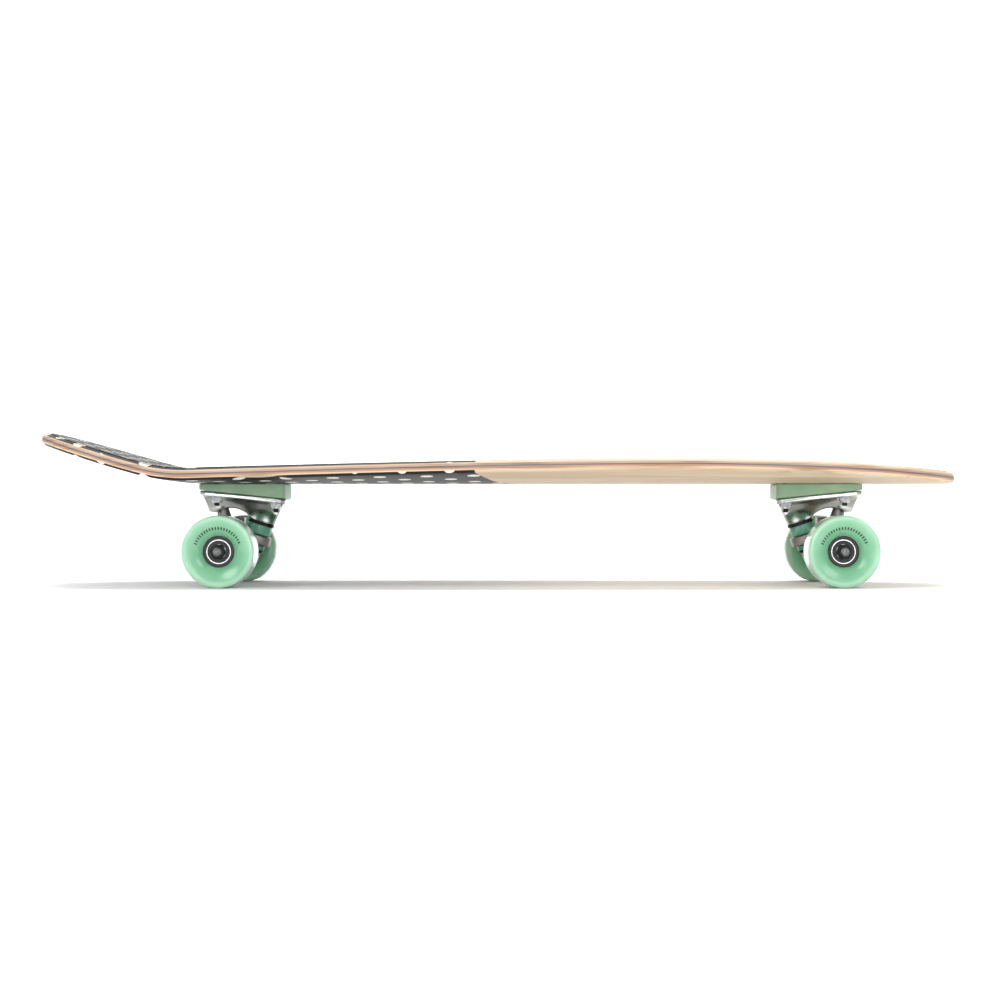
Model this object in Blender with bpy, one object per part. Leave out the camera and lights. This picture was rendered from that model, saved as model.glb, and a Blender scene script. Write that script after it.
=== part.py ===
"""Cruiser skateboard: a laminated kicktail deck on two sprung trucks with wedge risers and four wheels.

Blender works in metres with +Z up. The sizes below are in millimetres and MM turns them into metres
where a mesh or a place is made. +X runs to the nose, +Y to the left of travel, and the origin lies on
the ground under the middle of the deck. Each truck is drawn in its baseplate's own frame: x points
outboard along the tilted plate, away from the middle of the board, z points out of the plate's top face.
"""
import math

import bmesh
import bpy
from mathutils import Vector

MM = 0.001

# ---- driving dimensions, millimetres and degrees ----
DECK_TAIL_X = -417.0
DECK_NOSE_X = 419.0
DECK_WIDEST_X = 60.0
DECK_HALF_WIDTH = 117.0
DECK_TAIL_TAPER = 9.0
DECK_TAPER_POWER = 1.6
DECK_UNDERSIDE_Z = 92.8
DECK_THICKNESS = 10.5
DECK_ROUND = 4.0
FLAT_HALF_WIDTH = 30.0
CONCAVE_RISE = 11.2
CONCAVE_POWER = 1.7
CONCAVE_FADE_START_X = -335.0
CONCAVE_FADE_END_X = 220.0
NOSE_FULLNESS = (3.0, 2.2)
TAIL_FULLNESS = (9.0, 2.0)
NOSE_CORNER_HALF_WIDTH = 55.0
TAIL_CORNER_HALF_WIDTH = 60.0
KICK_START_X = -269.5
KICK_BEND_LENGTH = 45.0
KICK_SLOPE = math.tan(math.radians(16.5))
WELL_LENGTH = 56.0
WELL_REACH = 28.0
WELL_DEPTH = 3.2
WELL_X = (-208.5, 270.0)
DECK_ROWS = 46
FLAT_COLUMNS = 2
SIDE_COLUMNS = 3
END_BLEND_LENGTH = 90.0
END_BLEND_POWER = 1.5

GRIP_THICKNESS = 0.8
GRIP_INSET = 3.0
GAP = 0.3

TRUCK_X = {"rear": -230.0, "front": 289.5}
TRUCK_TURN = {"rear": 180.0, "front": 0.0}
PLATE_TOP_Z = 82.24
PLATE_TILT = 5.86
PLATE_THICKNESS = 4.8
PLATE_ENDS = (-36.6, 43.0)
PLATE_HALF_WIDTH = 27.5
PLATE_CORNER = 6.0
RISER_OVERHANG = 0.6

BOLT_SPACING_X = 54.0
BOLT_SPACING_Y = 41.28
BOLT_RADIUS = 2.4
BOLT_HEAD_RADIUS = 4.6
BOLT_HEAD_DEPTH = 2.6
BOLT_HOLE_RADIUS = 2.9
BOLT_SEAT_RADIUS = 5.1
BOLT_NUT_FLATS = 9.5
BOLT_NUT_HEIGHT = 5.6
BOLT_OUTBOARD_LENGTH = 32.0
BOLT_INBOARD_LENGTH = 38.0
SPOT_FACE_RADIUS = 6.4
SPOT_FACE_PLATE = 3.9
HEAD_RIM = 0.4
SEAT_RIM = 0.6

# The cast body under the plate: its side view, and its half width, which narrows downwards and outboard
# but never under the wall of the pivot bore.
BODY_SIDE_VIEW = ((-35.0, -4.0), (-26.4, -25.2), (-4.0, -19.85), (4.2, -14.85), (9.0, -13.6),
                  (14.0, -13.3), (24.0, -15.4), (26.6, -19.0), (34.6, -18.7), (41.6, -4.0))
BODY_TOP_REACH = 19.2
BODY_FLANK_SLOPE = 0.56
BODY_OUTBOARD_TAPER = 0.1
BODY_LEAST_REACH = 9.6

KING_FACE = (-13.8, 0.0, -22.65)
KING_LEAN = 12.1
KING_RADIUS = 4.75
KING_CLEAR_RADIUS = 5.2
KING_FLATS = 14.3
KING_NUT_HEIGHT = 7.4
KING_NUT_POCKET_RADIUS = 9.2
KING_TOP = -19.0
KING_TIP = 1.5
KING_POCKET_CLEARANCE = 0.9
HEAD_CHAMFER = (1.4, 1.0)
WASHER_TOP = (0.3, 3.0)
BUSHING_TOP = (3.3, 12.3)
RING_SPAN = (12.6, 21.4)
BUSHING_BASE = (21.7, 25.9)
WASHER_BASE = (26.2, 28.7)
HEAD_SPAN = (29.0, 36.0)
RING_RADIUS = 13.5
RING_BORE = 7.0
BUSHING_TOP_RADIUS = 11.0
BUSHING_BASE_RADIUS = 9.6
BUSHING_BORE = 5.2
WASHER_TOP_RADIUS = 12.2
WASHER_BASE_RADIUS = 9.6
POCKET_RADIUS = 10.6
POCKET_SLIDE = 2.6
POCKET_DEPTH = 48.0
WASHER_CLEARANCE = 0.9

PIVOT = (24.5, 0.0, -10.5)
NOSE_LEAN = 16.8
NOSE_TIP_RADIUS = 4.6
NOSE_PROFILE = ((2.4, -4.2), (4.0, -2.6), (NOSE_TIP_RADIUS, 0.0), (5.2, 4.0), (6.5, 11.0), (7.2, 16.0))
CUP_RADIUS = 7.0
CUP_MOUTH = 4.0
CUP_LIP_RADIUS = 6.3
CUP_FLOOR = 4.9
CUP_WALL = 1.3

WHEEL_RADIUS = 32.0
WHEEL_CENTRE_Y = 77.0
AXLE_OUTBOARD = 15.0
AXLE_RADIUS = 3.95
AXLE_HALF_LENGTH = 100.0
AXLE_NUT_SPAN = (90.1, 95.6)
AXLE_NUT_FLATS = 12.7
AXLE_CHAMFER = 0.6
AXLE_PRESS_GAP = 0.45
HANGER_HALF_WIDTH = 63.7
BEAM_RADIUS = 8.6
BEAM_WAIST_RADIUS = 7.4
BEAM_COLLAR_RADIUS = 8.2
BEAM_THICK_HALF = 22.0
YOKE_HALF = 25.0
RING_APRON_HALF = 19.0
# Outline points of the yoke over the beam: outboard, down from the plate's top, and reach to either side.
YOKE_POINTS = ((1.8, -20.4, 9.0), (12.0, -21.2, 10.0), (24.5, -23.5, 7.0), (1.8, -36.0, 14.0))
YOKE_NOSE = (14.0, 7.0)
BEARING_RADIUS = 11.0
BEARING_BORE = 4.3
BEARING_SPAN = (5.0, 12.0)
CORE_RADIUS = 13.6
CORE_HALF = 12.2
CORE_STOP_RADIUS = 9.4
# The tyre's section, radius and distance outwards from its middle: a dished outer face with a round lip,
# a flat tread and a smaller, rounder inner face.
TYRE_PROFILE = ((13.9, 12.2), (18.5, 17.2), (24.5, 19.8), (28.5, 20.4), (31.2, 18.0), (WHEEL_RADIUS, 13.0),
                (WHEEL_RADIUS, -8.0), (30.8, -14.6), (27.5, -18.2), (22.5, -18.4), (17.5, -16.2),
                (13.9, -12.2))

# Facets of the turned pieces: small screws and bores, hexagons, rings, wheels.
SMALL_SIDES = 10
HEX_SIDES = 12
BORE_SIDES = 14
RING_SIDES = 16
CORE_SIDES = 18
CASTING_SIDES = 20
TYRE_SIDES = 28

# ---- finishes: base colour, metallic, roughness ----
FINISHES = {
    "maple": ((0.78, 0.60, 0.38), 0.0, 0.45),
    "grip": ((0.05, 0.05, 0.05), 0.0, 0.95),
    "riser_rubber": ((0.33, 0.62, 0.42), 0.0, 0.50),
    "cast_aluminium": ((0.80, 0.81, 0.82), 1.0, 0.25),
    "black_steel": ((0.03, 0.03, 0.03), 1.0, 0.40),
    "zinc_steel": ((0.62, 0.62, 0.63), 1.0, 0.30),
    "teal_urethane": ((0.13, 0.52, 0.40), 0.0, 0.40),
    "mint_urethane": ((0.33, 0.75, 0.50), 0.0, 0.25),
    "black_plastic": ((0.02, 0.02, 0.02), 0.0, 0.45),
}


def clear_scene():
    """Remove whatever objects the scene already holds."""
    for old in list(bpy.data.objects):
        bpy.data.objects.remove(old, do_unlink=True)


def direction(lean):
    """Unit vector that points down out of the plate and leans outboard by an angle in degrees."""
    return Vector((math.sin(math.radians(lean)), 0.0, -math.cos(math.radians(lean))))


def plate_point(outboard, height):
    """Place in the plate's frame of a point given by its outboard distance and height over ground."""
    tilt = math.radians(PLATE_TILT)
    rise = height - PLATE_TOP_Z
    x = outboard * math.cos(tilt) + rise * math.sin(tilt)
    z = rise * math.cos(tilt) - outboard * math.sin(tilt)
    return Vector((x, 0.0, z))


def finished(name, bm, finish, parent=None, location=(0, 0, 0), rotation=(0, 0, 0)):
    """Turn a millimetre bmesh into a named object with its own material, shaded smooth."""
    bmesh.ops.scale(bm, vec=(MM, MM, MM), verts=bm.verts)
    bmesh.ops.recalc_face_normals(bm, faces=bm.faces)
    mesh = bpy.data.meshes.new(name)
    bm.to_mesh(mesh)
    bm.free()
    mesh.shade_smooth()
    mesh.set_sharp_from_angle(angle=math.radians(35))
    colour, metallic, roughness = FINISHES[finish]
    material = bpy.data.materials.new(name + "_" + finish)
    material.use_nodes = True
    shader = material.node_tree.nodes["Principled BSDF"]
    shader.inputs["Base Color"].default_value = (*colour, 1.0)
    shader.inputs["Metallic"].default_value = metallic
    shader.inputs["Roughness"].default_value = roughness
    mesh.materials.append(material)
    piece = bpy.data.objects.new(name, mesh)
    bpy.context.scene.collection.objects.link(piece)
    piece.parent = parent
    piece.location = Vector(location) * MM
    piece.rotation_euler = rotation
    return piece


def marker(name, parent=None, location=(0, 0, 0), rotation=(0, 0, 0)):
    """An empty that carries a frame or a joint's axis."""
    empty = bpy.data.objects.new(name, None)
    bpy.context.scene.collection.objects.link(empty)
    empty.parent = parent
    empty.location = Vector(location) * MM
    empty.rotation_euler = rotation
    return empty


def combine(target, tool, operation):
    """Join or cut a piece with a hidden shape, exactly."""
    tool.hide_render = True
    tool.display_type = "WIRE"
    boolean = target.modifiers.new(tool.name, "BOOLEAN")
    boolean.object = tool
    boolean.operation = operation
    boolean.solver = "EXACT"


def aimed(lean):
    """Rotation that turns a body's own +Z to the direction with this lean."""
    return direction(lean).to_track_quat("Z", "Y").to_euler()


def corner_factor(angle):
    """How far a hexagon's edge lies beyond its flats at this angle."""
    sector = math.pi / 3
    off_flat = (angle + sector / 2) % sector - sector / 2
    return 1.0 / math.cos(off_flat)


def turned(profile, sides, hollow=False, hexagonal=(), flat_down=False):
    """Carry a profile of (radius, height) round Z.

    A hollow body's profile is closed into a ring, a solid one is capped at its two ends. Entries of
    the profile listed in hexagonal follow a hexagon with that radius to its flats. flat_down turns the
    facets so that flats, not corners, lie on the stated radius and on the axes.
    """
    bm = bmesh.new()
    step = math.tau / sides
    first = step / 2 if flat_down else 0.0
    spread = 1.0 / math.cos(step / 2) if flat_down else 1.0
    rings = []
    for index, (radius, height) in enumerate(profile):
        ring = []
        for side in range(sides):
            angle = first + side * step
            reach = radius * (corner_factor(angle) if index in hexagonal else spread)
            ring.append(bm.verts.new((reach * math.cos(angle), reach * math.sin(angle), height)))
        rings.append(ring)
    pairs = list(zip(rings, rings[1:]))
    if hollow:
        pairs.append((rings[-1], rings[0]))
    else:
        bm.faces.new(rings[0])
        bm.faces.new(rings[-1])
    for low, high in pairs:
        for side in range(sides):
            after = (side + 1) % sides
            bm.faces.new((low[side], low[after], high[after], high[side]))
    return bm


def prism(outline, half_widths):
    """Extrude an (x, z) outline along Y; half_widths gives each point's reach to either side."""
    bm = bmesh.new()
    left = [bm.verts.new((x, reach, z)) for (x, z), reach in zip(outline, half_widths)]
    right = [bm.verts.new((x, -reach, z)) for (x, z), reach in zip(outline, half_widths)]
    bm.faces.new(left)
    bm.faces.new(right)
    for index in range(len(outline)):
        after = (index + 1) % len(outline)
        bm.faces.new((left[index], left[after], right[after], right[index]))
    return bm


def hull(points):
    """Closed convex body round a set of points."""
    bm = bmesh.new()
    for point in points:
        bm.verts.new(point)
    result = bmesh.ops.convex_hull(bm, input=bm.verts)
    spare = set(result["geom_interior"] + result["geom_unused"])
    spare_verts = [part for part in spare if isinstance(part, bmesh.types.BMVert)]
    bmesh.ops.delete(bm, geom=spare_verts, context="VERTS")
    bmesh.ops.dissolve_limit(bm, angle_limit=math.radians(1), verts=bm.verts, edges=bm.edges)
    return bm


def circle(centre, axis, radius, sides):
    """Points on a circle round an axis."""
    turn = Vector(axis).to_track_quat("Z", "Y")
    points = []
    for side in range(sides):
        angle = math.tau * side / sides
        points.append(Vector(centre) + turn @ Vector((math.cos(angle), math.sin(angle), 0)) * radius)
    return points


def rounded_rectangle(low_x, high_x, half_y, corner, arc_steps=3):
    """Plan outline of a plate with round corners, anticlockwise from above."""
    outline = []
    centres = ((high_x, half_y, 0), (low_x, half_y, 90), (low_x, -half_y, 180), (high_x, -half_y, 270))
    for x, y, start in centres:
        centre_x = x - math.copysign(corner, x)
        centre_y = y - math.copysign(corner, y)
        for step in range(arc_steps + 1):
            angle = math.radians(start + 90 * step / arc_steps)
            outline.append((centre_x + corner * math.cos(angle), centre_y + corner * math.sin(angle)))
    return outline


def slab(outline, top, bottom):
    """Closed body between two heights, each a function of x, over a plan outline."""
    bm = bmesh.new()
    upper = [bm.verts.new((x, y, top(x))) for x, y in outline]
    lower = [bm.verts.new((x, y, bottom(x))) for x, y in outline]
    bm.faces.new(upper)
    bm.faces.new(lower)
    for index in range(len(outline)):
        after = (index + 1) % len(outline)
        bm.faces.new((upper[index], upper[after], lower[after], lower[index]))
    return bm


# ---- deck ----
def tail_taper(x):
    """Half width before the tail's end rounds off, narrowing slowly behind the widest point."""
    back = (DECK_WIDEST_X - x) / (DECK_WIDEST_X - DECK_TAIL_X)
    return DECK_HALF_WIDTH - DECK_TAIL_TAPER * back ** DECK_TAPER_POWER


def half_width(x, inset):
    """Deck half width at a station: a rounded point towards the nose, a blunt end at the tail."""
    if x >= DECK_WIDEST_X:
        along, across = NOSE_FULLNESS
        reach = (x - DECK_WIDEST_X) / (DECK_NOSE_X - DECK_WIDEST_X)
        full = DECK_HALF_WIDTH
    else:
        along, across = TAIL_FULLNESS
        reach = (DECK_WIDEST_X - x) / (DECK_WIDEST_X - DECK_TAIL_X)
        full = tail_taper(x)
    return full * (1 - min(reach, 1.0) ** along) ** (1 / across) - inset


def end_x(y, nose, inset):
    """Station of the outline's end at a distance from the centre line, the inverse of half_width."""
    along, across = NOSE_FULLNESS if nose else TAIL_FULLNESS
    tip = DECK_NOSE_X if nose else DECK_TAIL_X
    x = tip
    for _ in range(8):
        full = DECK_HALF_WIDTH if nose else tail_taper(x)
        share = min((abs(y) + inset) / full, 1.0) if abs(y) > 0 else 0.0
        x = DECK_WIDEST_X + (tip - DECK_WIDEST_X) * (1 - share ** across) ** (1 / along)
    return x - math.copysign(inset, tip)


def corner_x(nose, inset):
    """Station where the side rail hands over to the end of the outline."""
    return end_x(NOSE_CORNER_HALF_WIDTH if nose else TAIL_CORNER_HALF_WIDTH, nose, inset)


def deck_top(x, y):
    """Height of the deck's top: flat in the middle, rails raised by the concave, tail kicked up."""
    width = max(half_width(x, 0.0), FLAT_HALF_WIDTH + 1)
    fade = (x - CONCAVE_FADE_START_X) / (CONCAVE_FADE_END_X - CONCAVE_FADE_START_X)
    fade = math.sin(math.pi / 2 * min(max(fade, 0.0), 1.0))
    out = max(abs(y) - FLAT_HALF_WIDTH, 0.0) / (DECK_HALF_WIDTH - FLAT_HALF_WIDTH)
    rise = CONCAVE_RISE * fade * min(out, width / DECK_HALF_WIDTH) ** CONCAVE_POWER
    back = max(KICK_START_X - x, 0.0)
    if back < KICK_BEND_LENGTH:
        kick = KICK_SLOPE * back ** 2 / (2 * KICK_BEND_LENGTH)
    else:
        kick = KICK_SLOPE * (back - KICK_BEND_LENGTH / 2)
    return DECK_UNDERSIDE_Z + DECK_THICKNESS + rise + kick


def well_depth(x, y):
    """Depth of the scoops sanded into the underside at the rails, to clear a steering wheel."""
    depth = 0.0
    for centre in WELL_X:
        along = (x - centre) / (WELL_LENGTH / 2)
        across = (half_width(x, 0.0) - abs(y)) / WELL_REACH
        depth = max(depth, WELL_DEPTH * (1 - along ** 2 - across ** 2))
    return depth


def column_position(index, half):
    """Distance of a lengthwise grid line from the centre line, for the deck's local half width."""
    if abs(index) <= FLAT_COLUMNS:
        return FLAT_HALF_WIDTH * index / FLAT_COLUMNS
    share = (abs(index) - FLAT_COLUMNS) / SIDE_COLUMNS
    return math.copysign(FLAT_HALF_WIDTH + (half - FLAT_HALF_WIDTH) * share, index)


def deck_sheet(name, inset, lift, finish):
    """Top surface of the deck as a grid whose rows bend into the rounded ends."""
    bm = bmesh.new()
    low = corner_x(False, inset)
    high = corner_x(True, inset)
    columns = FLAT_COLUMNS + SIDE_COLUMNS
    grid = []
    for row in range(DECK_ROWS + 1):
        station = low + (high - low) * row / DECK_ROWS
        half = half_width(station, inset)
        nose = station > DECK_WIDEST_X
        corner = high if nose else low
        end_half = half_width(corner, inset)
        blend = max(0.0, 1 - abs(station - corner) / END_BLEND_LENGTH) ** END_BLEND_POWER
        line = []
        for column in range(-columns, columns + 1):
            bulge = end_x(column_position(column, end_half), nose, inset)
            bulge -= end_x(column_position(columns, end_half), nose, inset)
            x = station + blend * bulge
            y = column_position(column, half)
            line.append(bm.verts.new((x, y, deck_top(x, y) + lift)))
        grid.append(line)
    for back, front in zip(grid, grid[1:]):
        for left in range(2 * columns):
            bm.faces.new((back[left], front[left], front[left + 1], back[left + 1]))
    return finished(name, bm, finish)


def bolt_places():
    """The four bolts' places in one truck, outboard and sideways from the pattern's centre."""
    return [(sx * BOLT_SPACING_X / 2, sy * BOLT_SPACING_Y / 2) for sx in (1, -1) for sy in (1, -1)]


def deck_bolt_cutter(name):
    """Eight bolt holes with countersinks, as one hidden tool."""
    bm = bmesh.new()
    top = DECK_UNDERSIDE_Z + DECK_THICKNESS + GAP + GRIP_THICKNESS
    profile = ((BOLT_HOLE_RADIUS, -2 * DECK_THICKNESS), (BOLT_HOLE_RADIUS, -BOLT_HEAD_DEPTH - HEAD_RIM),
               (BOLT_SEAT_RADIUS, -SEAT_RIM), (BOLT_SEAT_RADIUS, DECK_ROUND))
    for end, centre in TRUCK_X.items():
        for outboard, side in bolt_places():
            hole = turned(profile, SMALL_SIDES)
            bmesh.ops.translate(hole, vec=(centre + outboard, side, top), verts=hole.verts)
            spare = bpy.data.meshes.new(name + "_" + end)
            hole.to_mesh(spare)
            hole.free()
            bm.from_mesh(spare)
            bpy.data.meshes.remove(spare)
    return finished(name, bm, "black_steel")


def build_deck():
    """The pressed and shaped board, and the clear grip sheet stuck on its top."""
    deck = deck_sheet("deck", 0.0, 0.0, "maple")
    group = deck.vertex_groups.new(name="thickness")
    for vertex in deck.data.vertices:
        depth = well_depth(vertex.co.x / MM, vertex.co.y / MM)
        group.add([vertex.index], 1 - depth / DECK_THICKNESS, "REPLACE")
    skin = deck.modifiers.new("plies", "SOLIDIFY")
    skin.thickness = DECK_THICKNESS * MM
    skin.offset = -1
    skin.vertex_group = "thickness"
    skin.thickness_vertex_group = 0.0
    rail = deck.modifiers.new("rail_round", "BEVEL")
    rail.width = DECK_ROUND * MM
    rail.segments = 2
    rail.limit_method = "ANGLE"
    rail.angle_limit = math.radians(50)
    grip = deck_sheet("grip_tape", GRIP_INSET + DECK_ROUND, GAP, "grip")
    sheet = grip.modifiers.new("sheet", "SOLIDIFY")
    sheet.thickness = GRIP_THICKNESS * MM
    sheet.offset = 1
    for board in (deck, grip):
        combine(board, deck_bolt_cutter(board.name + "_bolt_holes"), "DIFFERENCE")


# ---- truck pieces that stay with the deck ----
def build_riser(end):
    """Wedge pad between deck and baseplate, thick end towards the middle of the board."""
    outline = rounded_rectangle(PLATE_ENDS[0] + RISER_OVERHANG, PLATE_ENDS[1],
                                PLATE_HALF_WIDTH + RISER_OVERHANG, PLATE_CORNER)
    slope = math.tan(math.radians(PLATE_TILT))
    pad = slab(outline, lambda x: DECK_UNDERSIDE_Z - GAP, lambda x: PLATE_TOP_Z + GAP + slope * x)
    turn = math.radians(TRUCK_TURN[end])
    riser = finished(end + "_riser", pad, "riser_rubber", None, (TRUCK_X[end], 0, 0), (0, 0, turn))
    for index, (outboard, side) in enumerate(bolt_places(), 1):
        below = DECK_UNDERSIDE_Z - 20
        above = DECK_UNDERSIDE_Z + 5
        hole = turned(((BOLT_HOLE_RADIUS, below), (BOLT_HOLE_RADIUS, above)), SMALL_SIDES)
        bmesh.ops.translate(hole, vec=(outboard, side, 0), verts=hole.verts)
        place = (TRUCK_X[end], 0, 0)
        cutter = finished(f"{end}_riser_hole_{index}", hole, "black_steel", None, place, (0, 0, turn))
        combine(riser, cutter, "DIFFERENCE")


def nut_seat_height(outboard):
    """Height of the level spot face under a mounting nut, on the tilted plate's underside."""
    tilt = math.radians(PLATE_TILT)
    underside = PLATE_TOP_Z + outboard * math.tan(tilt) - PLATE_THICKNESS / math.cos(tilt)
    return underside + PLATE_THICKNESS - SPOT_FACE_PLATE


def build_bolts(end):
    """Countersunk mounting bolts through grip, deck, riser and plate, with their lock nuts."""
    turn = math.radians(TRUCK_TURN[end])
    base = marker(end + "_bolt_pattern", None, (TRUCK_X[end], 0, 0), (0, 0, turn))
    top = DECK_UNDERSIDE_Z + DECK_THICKNESS + GAP + GRIP_THICKNESS
    nut_profile = ((BOLT_RADIUS + GAP, -BOLT_NUT_HEIGHT), (BOLT_NUT_FLATS / 2, -BOLT_NUT_HEIGHT),
                   (BOLT_NUT_FLATS / 2, 0.0), (BOLT_RADIUS + GAP, 0.0))
    for index, (outboard, side) in enumerate(bolt_places(), 1):
        length = BOLT_OUTBOARD_LENGTH if outboard > 0 else BOLT_INBOARD_LENGTH
        bolt_profile = ((BOLT_HEAD_RADIUS, 0.0), (BOLT_HEAD_RADIUS, -HEAD_RIM),
                        (BOLT_RADIUS, -BOLT_HEAD_DEPTH), (BOLT_RADIUS, -length))
        place = (outboard, side, top)
        finished(f"{end}_bolt_{index}", turned(bolt_profile, SMALL_SIDES), "black_steel", base, place)
        place = (outboard, side, nut_seat_height(outboard) - GAP)
        nut = turned(nut_profile, HEX_SIDES, hollow=True, hexagonal=(1, 2))
        finished(f"{end}_lock_nut_{index}", nut, "zinc_steel", base, place)


def build_baseplate(end, frame):
    """Cast plate: slab, tapered body with the kingpin boss and arch, and the pivot housing."""
    outline = rounded_rectangle(PLATE_ENDS[0], PLATE_ENDS[1] - RISER_OVERHANG, PLATE_HALF_WIDTH, PLATE_CORNER)
    plate = finished(end + "_baseplate", slab(outline, lambda x: 0.0, lambda x: -PLATE_THICKNESS),
                     "cast_aluminium", frame)
    reach = []
    for x, z in BODY_SIDE_VIEW:
        flank = BODY_TOP_REACH + BODY_FLANK_SLOPE * (z + PLATE_THICKNESS) - BODY_OUTBOARD_TAPER * x
        reach.append(max(flank, BODY_LEAST_REACH))
    body = finished(end + "_baseplate_body", prism(BODY_SIDE_VIEW, reach), "cast_aluminium", frame)
    combine(plate, body, "UNION")
    pocket_floor = KING_TOP + KING_NUT_HEIGHT + KING_POCKET_CLEARANCE
    cup_bottom = -CUP_FLOOR - CUP_WALL
    bores = (
        ("kingpin_hole", KING_CLEAR_RADIUS, -34.0, 6.0, KING_FACE, KING_LEAN),
        ("kingpin_nut_pocket", KING_NUT_POCKET_RADIUS, -40.0, pocket_floor, KING_FACE, KING_LEAN),
        ("pivot_bore", CUP_RADIUS + GAP, cup_bottom - GAP, 14.0, PIVOT, -NOSE_LEAN),
    )
    for label, radius, low, high, centre, lean in bores:
        bore = turned(((radius, low), (radius, high)), BORE_SIDES)
        cutter = finished(f"{end}_{label}", bore, "black_steel", frame, centre, aimed(lean))
        combine(plate, cutter, "DIFFERENCE")
    level = (0, math.radians(PLATE_TILT), 0)
    for index, (outboard, side) in enumerate(bolt_places(), 1):
        seat = nut_seat_height(outboard)
        centre = plate_point(outboard, seat)
        profile = ((SPOT_FACE_RADIUS, -16.0), (SPOT_FACE_RADIUS, 0.0),
                   (BOLT_HOLE_RADIUS, 0.0), (BOLT_HOLE_RADIUS, 9.0))
        seat_cutter = finished(f"{end}_nut_seat_{index}", turned(profile, HEX_SIDES), "black_steel", frame,
                               (centre.x, side, centre.z), level)
        combine(plate, seat_cutter, "DIFFERENCE")
    cup_profile = ((CUP_RADIUS, cup_bottom), (CUP_RADIUS, CUP_MOUTH), (CUP_LIP_RADIUS, CUP_MOUTH),
                   (NOSE_TIP_RADIUS + 0.4, 0.0), (NOSE_TIP_RADIUS + 0.4, -CUP_FLOOR))
    cup = turned(cup_profile, BORE_SIDES)
    finished(end + "_pivot_cup", cup, "black_plastic", frame, PIVOT, aimed(-NOSE_LEAN))


def build_kingpin_stack(end, frame):
    """Inverted kingpin with its nut, two bushings and two cupped washers, from the boss face down."""
    turn = aimed(KING_LEAN)
    head = KING_FLATS / 2
    inset, chamfer = HEAD_CHAMFER
    pin_profile = ((KING_RADIUS, KING_TOP - KING_TIP), (KING_RADIUS, HEAD_SPAN[0]), (head, HEAD_SPAN[0]),
                   (head, HEAD_SPAN[1] - chamfer), (head - inset, HEAD_SPAN[1]))
    pin = turned(pin_profile, HEX_SIDES, hexagonal=(2, 3))
    finished(end + "_kingpin", pin, "black_steel", frame, KING_FACE, turn)
    bore = KING_RADIUS + GAP
    nut_high = KING_TOP + KING_NUT_HEIGHT
    nut_profile = ((bore, KING_TOP), (head, KING_TOP), (head, nut_high), (bore, nut_high))
    nut = turned(nut_profile, HEX_SIDES, hollow=True, hexagonal=(1, 2))
    finished(end + "_kingpin_nut", nut, "zinc_steel", frame, KING_FACE, turn)
    rings = (
        ("boardside_washer", WASHER_TOP, WASHER_TOP_RADIUS, "black_steel"),
        ("boardside_bushing", BUSHING_TOP, BUSHING_TOP_RADIUS, "teal_urethane"),
        ("roadside_bushing", BUSHING_BASE, BUSHING_BASE_RADIUS, "teal_urethane"),
        ("roadside_washer", WASHER_BASE, WASHER_BASE_RADIUS, "black_steel"),
    )
    for label, (low, high), radius, finish in rings:
        profile = ((BUSHING_BORE, low), (radius, low), (radius, high), (BUSHING_BORE, high))
        finished(f"{end}_{label}", turned(profile, RING_SIDES, hollow=True), finish, frame, KING_FACE, turn)


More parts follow.
